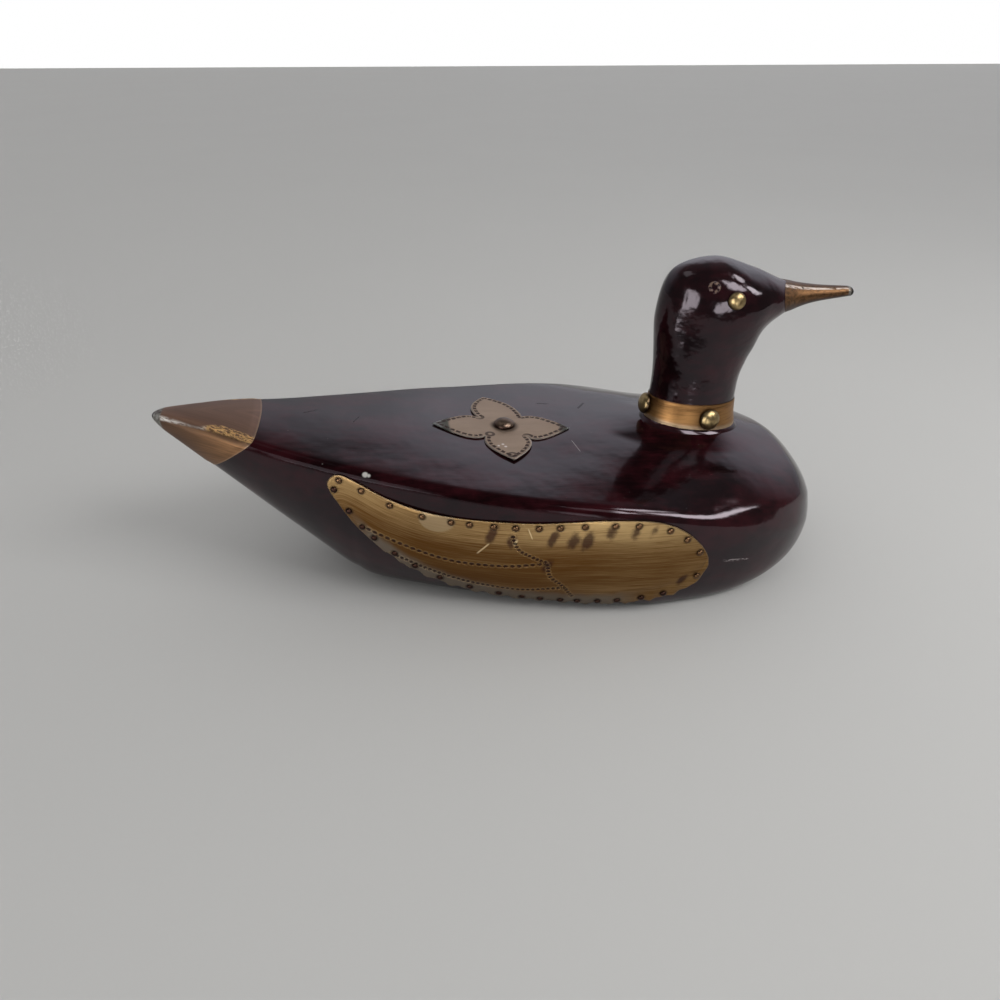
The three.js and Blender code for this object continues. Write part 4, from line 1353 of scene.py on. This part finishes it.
class DECOY_OT_body(bpy.types.Operator):
    """Make the lacquered body."""

    bl_idname = "decoy.make_body"
    bl_label = "Body"

    def execute(self, context):
        sizes, colours, _ = settings(context)
        rings = body_rings()
        chine = chine_distance(rings)
        calm = smooth_step(0.3, 2.0, rings[..., 2]) * smooth_step(45.0, 60.0, rings[..., 0])
        calm = calm * (0.25 + 0.75 * smooth_step(3.0, 16.0, chine))
        carved = sizes.carving / MM * waves(rings, 34.0, 2) * calm
        rings = rings + outward(rings) * carved[..., None]
        rings[..., 2] += neck_fillet(rings)
        ends = np.array([tail_tip(), (BODY_LENGTH, 0.0, BREAST_POINT_HEIGHT)])
        bead = foot_bead()
        rest = np.concatenate([np.zeros(len(ends)), np.full(bead.size // 3, BODY_LENGTH)])
        kept = {"chine": np.append(chine, rest), "foot": np.append(neck_gap(rings), rest)}
        skins = [skin(rings, ends), skin(bead)]
        add_piece("body_lacquered", skins, body_material(colours), ("body",), kept)
        return {"FINISHED"}


class DECOY_OT_head(bpy.types.Operator):
    """Make the lacquered head and neck."""

    bl_idname = "decoy.make_head"
    bl_label = "Head"

    def execute(self, context):
        sizes, colours, _ = settings(context)
        shares = np.linspace(HEAD_START_SHARE, 1.0, HEAD_ROWS)[:, None]
        rings = head_point(shares, full_turn(HEAD_COLUMNS))
        calm = smooth_step(0.72, 0.6, shares) * smooth_step(0.2, 0.3, shares)
        carved = 1.2 * sizes.carving / MM * waves(rings, 19.0, 3) * calm
        rings = rings + outward(rings) * carved[..., None]
        foot = rings[0].mean(axis=0)
        end = rings[-1].mean(axis=0) + (BILL_TIP_LENGTH, 0.0, 0.0)
        rings = np.concatenate([rings, round_tip(rings[-1], end)])
        skins = [skin(rings, np.array([foot, end]))]
        add_piece("head_lacquered", skins, head_material(colours), ("head",))
        return {"FINISHED"}


class DECOY_OT_tail_cap(bpy.types.Operator):
    """Make the brass cap of the tail."""

    bl_idname = "decoy.make_tail_cap"
    bl_label = "Tail cap"

    def execute(self, context):
        sizes, colours, _ = settings(context)
        laps, sides = ring_laps()
        height = float(smooth_through(BACK_EDGE_HEIGHTS, np.array(TAIL_CAP_LENGTH)))

        def inside(station):
            points = body_point(station, laps, sides)
            return plane_side(points, -1.0, TAIL_CAP_RAKE, TAIL_CAP_LENGTH, height, TAIL_CAP_SKEW)

        rim = bisect(inside, np.zeros_like(laps), np.full_like(laps, BASE_REAR_STATION))
        tip, start = TAIL_NOSE
        nose = start - (start - tip) * np.sin(math.pi / 2.0 * np.arange(1, 2 * TIP_ROWS) / (2 * TIP_ROWS))
        even = start + (rim - start) * np.linspace(1.0, 0.0, TAIL_CAP_ROWS)[:, None]
        stations = np.concatenate([even, np.repeat(nose[:, None], len(laps), axis=1)])
        rings = body_point(stations, laps, sides)
        rail = body_rails(stations)
        values = {
            "above": rings[..., 2] - rail.edge,
            "out": rail.half_width - np.abs(rings[..., 1]),
            "tip": np.clip(1.0 - stations / BARE_TIP_LENGTH, 0.0, 1.0),
            "rim": np.linalg.norm(rings - rings[0], axis=-1),
        }
        rings, tips, kept = shell(rings, tail_tip(), sizes.cap / MM, values)
        finish = tail_material(colours)
        add_piece("tail_cap_sheet", [skin(rings, tips)], finish, ("tail_cap",), kept)
        return {"FINISHED"}


class DECOY_OT_bill_cap(bpy.types.Operator):
    """Make the brass cap of the bill."""

    bl_idname = "decoy.make_bill_cap"
    bl_label = "Bill cap"

    def execute(self, context):
        sizes, colours, _ = settings(context)
        turns = full_turn(HEAD_COLUMNS)
        root = NECK_STATION + BILL_CAP_FORWARD
        height = seat_height() + (NAPE_LINE[-1][1] + THROAT_LINE[-1][1]) / 2.0

        def behind(along):
            points = head_point(along, turns)
            sweeps = (side * BILL_CAP_SWEEP for side in SIDES.values())
            ahead = (plane_side(points, 1.0, BILL_CAP_RAKE, root, height, sweep) for sweep in sweeps)
            return -np.maximum(*ahead)

        rim = bisect(behind, np.full_like(turns, 0.4), np.ones_like(turns))
        rings = head_point(rim + (1.0 - rim) * np.linspace(0.0, 1.0, BILL_CAP_ROWS)[:, None], turns)
        end = rings[-1].mean(axis=0) + (BILL_TIP_LENGTH, 0.0, -BILL_TIP_DROP)
        rings = np.concatenate([rings, round_tip(rings[-1], end)])
        values = {
            "up": np.cos(turns) * np.ones((len(rings), 1)),
            "tip": np.clip(1.0 - (end[0] - rings[..., 0]) / BARE_TIP_LENGTH, 0.0, 1.0),
        }
        rings, tips, kept = shell(rings, end, sizes.cap / MM, values)
        finish = bill_material(colours)
        add_piece("bill_cap_sheet", [skin(rings, tips)], finish, ("bill_cap",), kept)
        return {"FINISHED"}


def add_stud(name, sizes, finish, node, seat, normal, scale=1.0):
    """One large domed stud on a seat."""
    rings, tips, dome = tack_rings(scale * sizes.stud_head / MM, scale * sizes.stud_height / MM, STUD_COLUMNS)
    lifted = seat + normal * sizes.stud_lift / MM
    skins = [skin(stand(rings, lifted, normal), stand(tips, lifted, normal))]
    add_piece(name, skins, finish, (node,), {"dome": dome})


class DECOY_OT_collar(bpy.types.Operator):
    """Make the brass strip round the foot of the neck and its three studs."""

    bl_idname = "decoy.make_collar"
    bl_label = "Collar"

    def execute(self, context):
        sizes, colours, _ = settings(context)
        turns = full_turn(COLLAR_COLUMNS)
        foot = neck_shares(turns, COLLAR_FOOT_HEIGHT, COLLAR_FOOT_SLOPE)
        rim = neck_shares(turns, COLLAR_RIM_HEIGHT, COLLAR_RIM_SLOPE)
        even = np.linspace(0.0, 1.0, COLLAR_ROWS)
        crowded = 0.4 * even + 0.6 * (1.0 - np.cos(math.pi * even)) / 2.0
        points = head_point(foot + (rim - foot) * crowded[:, None], turns)
        out = outward(points)
        to_foot, to_rim = (np.linalg.norm(points - points[i], axis=-1) for i in (0, -1))
        swell = 0.3 + 0.7 * smooth_step(0.0, 1.2, np.minimum(to_foot, to_rim))
        inner = points + SHEET_CLEARANCE * out
        outer = points + out * (sizes.strip / MM * swell + 0.04 * waves(points, 15.0, 6))[..., None]
        kept = there_and_back({"to_rim": to_rim, "to_foot": to_foot}, 0)
        skins = [skin(np.concatenate([outer, inner[::-1]]))]
        add_piece("collar_strip", skins, collar_material(colours), ("neck_collar",), kept)
        finish = tack_material(colours, "collar stud brass", colours.stud_brass, 0.8)
        middle = (points[0, :, 2] + points[-1, :, 2]) / 2.0
        for name, degrees in COLLAR_STUDS.items():
            angle = math.radians(degrees)
            away = np.array([math.cos(angle), math.sin(angle), 0.0])
            facing = (points.mean(axis=0)[:, :2] - (NECK_STATION, 0.0)) @ away[:2]
            start = np.array([NECK_STATION, 0.0, middle[facing.argmax()]]) + away * BODY_LENGTH
            seat, normal = seat_on_line(outer, out, start, -away)
            add_stud(f"collar_stud_head_{name}", sizes, finish, f"collar_stud_{name}", seat, normal)
        return {"FINISHED"}


class DECOY_OT_eyes(bpy.types.Operator):
    """Make the domed studs that are the eyes."""

    bl_idname = "decoy.make_eyes"
    bl_label = "Eyes"

    def execute(self, context):
        sizes, colours, _ = settings(context)
        rings = head_point(np.linspace(0.3, 0.8, EYE_SEARCH_STEPS)[:, None], full_turn(EYE_SEARCH_STEPS))
        out = outward(rings)
        finish = tack_material(colours, "eye brass", colours.stud_brass, 0.7)
        for name, side in SIDES.items():
            start = np.array([NECK_STATION + EYE_FORWARD, side * BODY_LENGTH, seat_height() + EYE_UP])
            seat, normal = seat_on_line(rings, out, start, np.array([0.0, -side, 0.0]))
            add_stud(f"{name}_eye_head", sizes, finish, f"{name}_eye_stud", seat, normal, sizes.eye)
        return {"FINISHED"}


class DECOY_OT_flower(bpy.types.Operator):
    """Make the brass flower and its stud."""

    bl_idname = "decoy.make_flower"
    bl_label = "Flower"

    def execute(self, context):
        sizes, colours, _ = settings(context)
        rings, kept = flower_rings(sizes)
        sheet_finish = flower_material(colours)
        add_piece("flower_sheet", [skin(rings)], sheet_finish, ("flower_plate",), kept)
        top, ahead = back_height(np.array([FLOWER_STATION, FLOWER_STATION + 1.0]), np.zeros(2))
        normal = unit(np.array([top - ahead, 0.0, 1.0]))
        seat = np.array([FLOWER_STATION, 0.0, top]) + normal * (sizes.sheet_gap + sizes.sheet) / MM
        finish = tack_material(colours, "flower stud bronze", colours.stud_bronze, 0.9)
        add_stud("flower_stud_head", sizes, finish, "flower_stud", seat, normal)
        return {"FINISHED"}


class DECOY_OT_wings(bpy.types.Operator):
    """Make the two punched wing plates and the nails round them."""

    bl_idname = "decoy.make_wings"
    bl_label = "Wings"

    def execute(self, context):
        sizes, colours, _ = settings(context)
        finish = wing_material(colours)
        nail_finish = tack_material(colours, "nail brass", colours.nail_brown, 0.9)
        rings, tips, dome = tack_rings(sizes.nail_head / MM, sizes.nail_height / MM, NAIL_COLUMNS)
        rise = (2.0 * sizes.sheet_gap + sizes.sheet) / MM
        own = len(WING_TOP_NAILS)
        for name, side in SIDES.items():
            sheet, ends, kept = wing_rings(side, sizes)
            plate = f"{name}_wing_plate"
            add_piece(f"{name}_wing_sheet", [skin(sheet, ends)], finish, (plate,), kept)
            seats, out = flank_seat(wing_nail_places(), side)
            seats = seats + out * rise
            skins = [skin(stand(rings, s, n), stand(tips, s, n)) for s, n in zip(seats, out)]
            for i in range(own):
                node = f"{name}_wing_nail_{i + 1:02d}"
                add_piece(f"{node}_head", [skins[i]], nail_finish, (node,), {"dome": dome})
            add_piece(f"{name}_wing_lower_nails", skins[own:], nail_finish)
        return {"FINISHED"}


class DECOY_OT_dowel(bpy.types.Operator):
    """Finish the dowel inside the neck as bare wood."""

    bl_idname = "decoy.make_dowel"
    bl_label = "Dowel"

    def execute(self, context):
        _, colours, _ = settings(context)
        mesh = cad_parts["neck_dowel"].data
        mesh.materials.clear()
        mesh.materials.append(dowel_material(colours))
        return {"FINISHED"}


def add_lamp(name, size, power, azimuth, elevation, distance):
    """Soft rectangular lamp round the decoy, turned to face it; azimuth 0 is on the camera's side."""
    lamp = bpy.data.lights.new(name, "AREA")
    lamp.shape = "RECTANGLE"
    lamp.size, lamp.size_y = size
    lamp.energy = power
    made = new_object(name, lamp)
    a, e = math.radians(azimuth), math.radians(elevation)
    away = np.array([math.sin(a) * math.cos(e), -math.cos(a) * math.cos(e), math.sin(e)])
    made.location = np.array(LAMP_AIM) + away * distance
    made.rotation_euler = (math.pi / 2.0 - e, 0.0, a)
    made.visible_glossy = False


def add_floor(colours):
    """Pale floor at the foot of the decoy."""
    made, maker = material("pale floor")
    cloud = maker.noise(maker.place(), 0.004)
    base = maker.mix(cloud, scaled(colours.floor, 0.97), colours.floor)
    maker.finish(base_color=base, roughness=0.7)
    corners = [(x, y, 0.0) for y in (FLOOR_FRONT, FLOOR_REACH) for x in (-FLOOR_REACH, FLOOR_REACH)]
    mesh = bpy.data.meshes.new("floor")
    mesh.from_pydata(corners, [], [(0, 1, 3, 2)])
    mesh.materials.append(made)
    new_object("floor", mesh)


def light_room(stage):
    """White for the camera, an even level for dull surfaces, and for gloss a paler back and bright panels.

    The panels are dimmer in a reflection of a reflection.
    """
    world = bpy.data.worlds.new("room")
    world.use_nodes = True
    bpy.context.scene.world = world
    maker = Maker(world.node_tree)
    path = maker.node("ShaderNodeLightPath", {}, {})
    mirrored = path.other("Is Glossy Ray").most(path.other("Is Transmission Ray"))
    x, y, z = maker.axes(maker.node("ShaderNodeTexCoord", {}, {}).other("Generated"))
    bearing = x.sum_up("ARCTAN2", x, -1.0 * y)
    height = z.sum_up("ARCSINE", z)
    wall = (0.45 + 0.55 * x.rise(-0.1, 0.25)) * (0.5 + 0.5 * z.rise(0.1, 0.45))
    wall = wall * (1.0 - 0.88 * z.rise(0.58, 0.76)) * stage.behind
    gloss = maker.mix(y.rise(-0.05, 0.65) * wall, (stage.front,) * 3, WALL_COLOUR)
    soft = math.radians(PANEL_SOFT)
    first = 0.3 + 0.7 * path.other("Ray Depth").rise(2.8, 2.2)
    for *angles, level in PANELS:
        azimuth, elevation, half_width, half_height = np.radians(angles).tolist()
        inside = abs(bearing - azimuth).rise(half_width + soft, half_width)
        inside = inside * abs(height - elevation).rise(half_height + soft, half_height)
        gloss = maker.mix(inside * first, gloss, (stage.panels * level,) * 3)
    seen = maker.layers(
        (stage.room,) * 3,
        (mirrored, gloss),
        (path.other("Is Camera Ray"), (1.0, 1.0, 1.0)),
    )
    background = maker.node("ShaderNodeBackground", {}, {"Color": seen, "Strength": 1.0})
    maker.node("ShaderNodeOutputWorld", {}, {"Surface": background})


def add_camera():
    """Camera at the photograph's angle: 32 degrees down, turned 7 degrees toward the breast."""
    lens = bpy.data.cameras.new("camera")
    lens.lens = CAMERA_LENS
    lens.sensor_width = CAMERA_SENSOR
    lens.clip_start = 0.01
    made = new_object("camera", lens)
    made.location = CAMERA_PLACE
    made.rotation_euler = CAMERA_TURN
    bpy.context.scene.camera = made


class DECOY_OT_stage(bpy.types.Operator):
    """Make the floor, the light and the camera."""

    bl_idname = "decoy.make_stage"
    bl_label = "Stage"

    def execute(self, context):
        _, colours, stage = settings(context)
        add_floor(colours)
        light_room(stage)
        add_lamp(
            "key_lamp", size=(0.5, 0.4), power=stage.key_power, azimuth=58.0, elevation=40.0, distance=1.0)
        add_camera()
        context.scene.view_settings.view_transform = "Standard"
        return {"FINISHED"}


OPERATORS = (
    DECOY_OT_body, DECOY_OT_head, DECOY_OT_tail_cap, DECOY_OT_bill_cap, DECOY_OT_collar, DECOY_OT_eyes,
    DECOY_OT_flower, DECOY_OT_wings, DECOY_OT_dowel, DECOY_OT_stage,
)
GROUPS = {"decoy_sizes": DecoySizes, "decoy_colours": DecoyColours, "decoy_stage": DecoyStage}


class DECOY_PT_panel(bpy.types.Panel):
    """Sizes, colours, light and the steps that dress the decoy."""

    bl_idname = "DECOY_PT_panel"
    bl_label = "Decoy"
    bl_space_type = "VIEW_3D"
    bl_region_type = "UI"
    bl_category = "Decoy"

    def draw(self, context):
        for key, group in GROUPS.items():
            box = self.layout.box()
            for name in group.__annotations__:
                box.prop(getattr(context.scene, key), name)
        for operator in OPERATORS:
            self.layout.operator(operator.bl_idname)


def register():
    for cls in (*GROUPS.values(), *OPERATORS, DECOY_PT_panel):
        bpy.utils.register_class(cls)
    for key, group in GROUPS.items():
        setattr(bpy.types.Scene, key, bpy.props.PointerProperty(type=group))


def unregister():
    for key in GROUPS:
        delattr(bpy.types.Scene, key)
    for cls in (DECOY_PT_panel, *reversed(OPERATORS), *reversed(tuple(GROUPS.values()))):
        bpy.utils.unregister_class(cls)


def main():
    register()
    bpy.ops.decoy.make_stage()
    bpy.ops.decoy.make_body()
    bpy.ops.decoy.make_head()
    bpy.ops.decoy.make_tail_cap()
    bpy.ops.decoy.make_bill_cap()
    bpy.ops.decoy.make_collar()
    bpy.ops.decoy.make_eyes()
    bpy.ops.decoy.make_flower()
    bpy.ops.decoy.make_wings()
    bpy.ops.decoy.make_dowel()


if __name__ == "__main__":
    main()
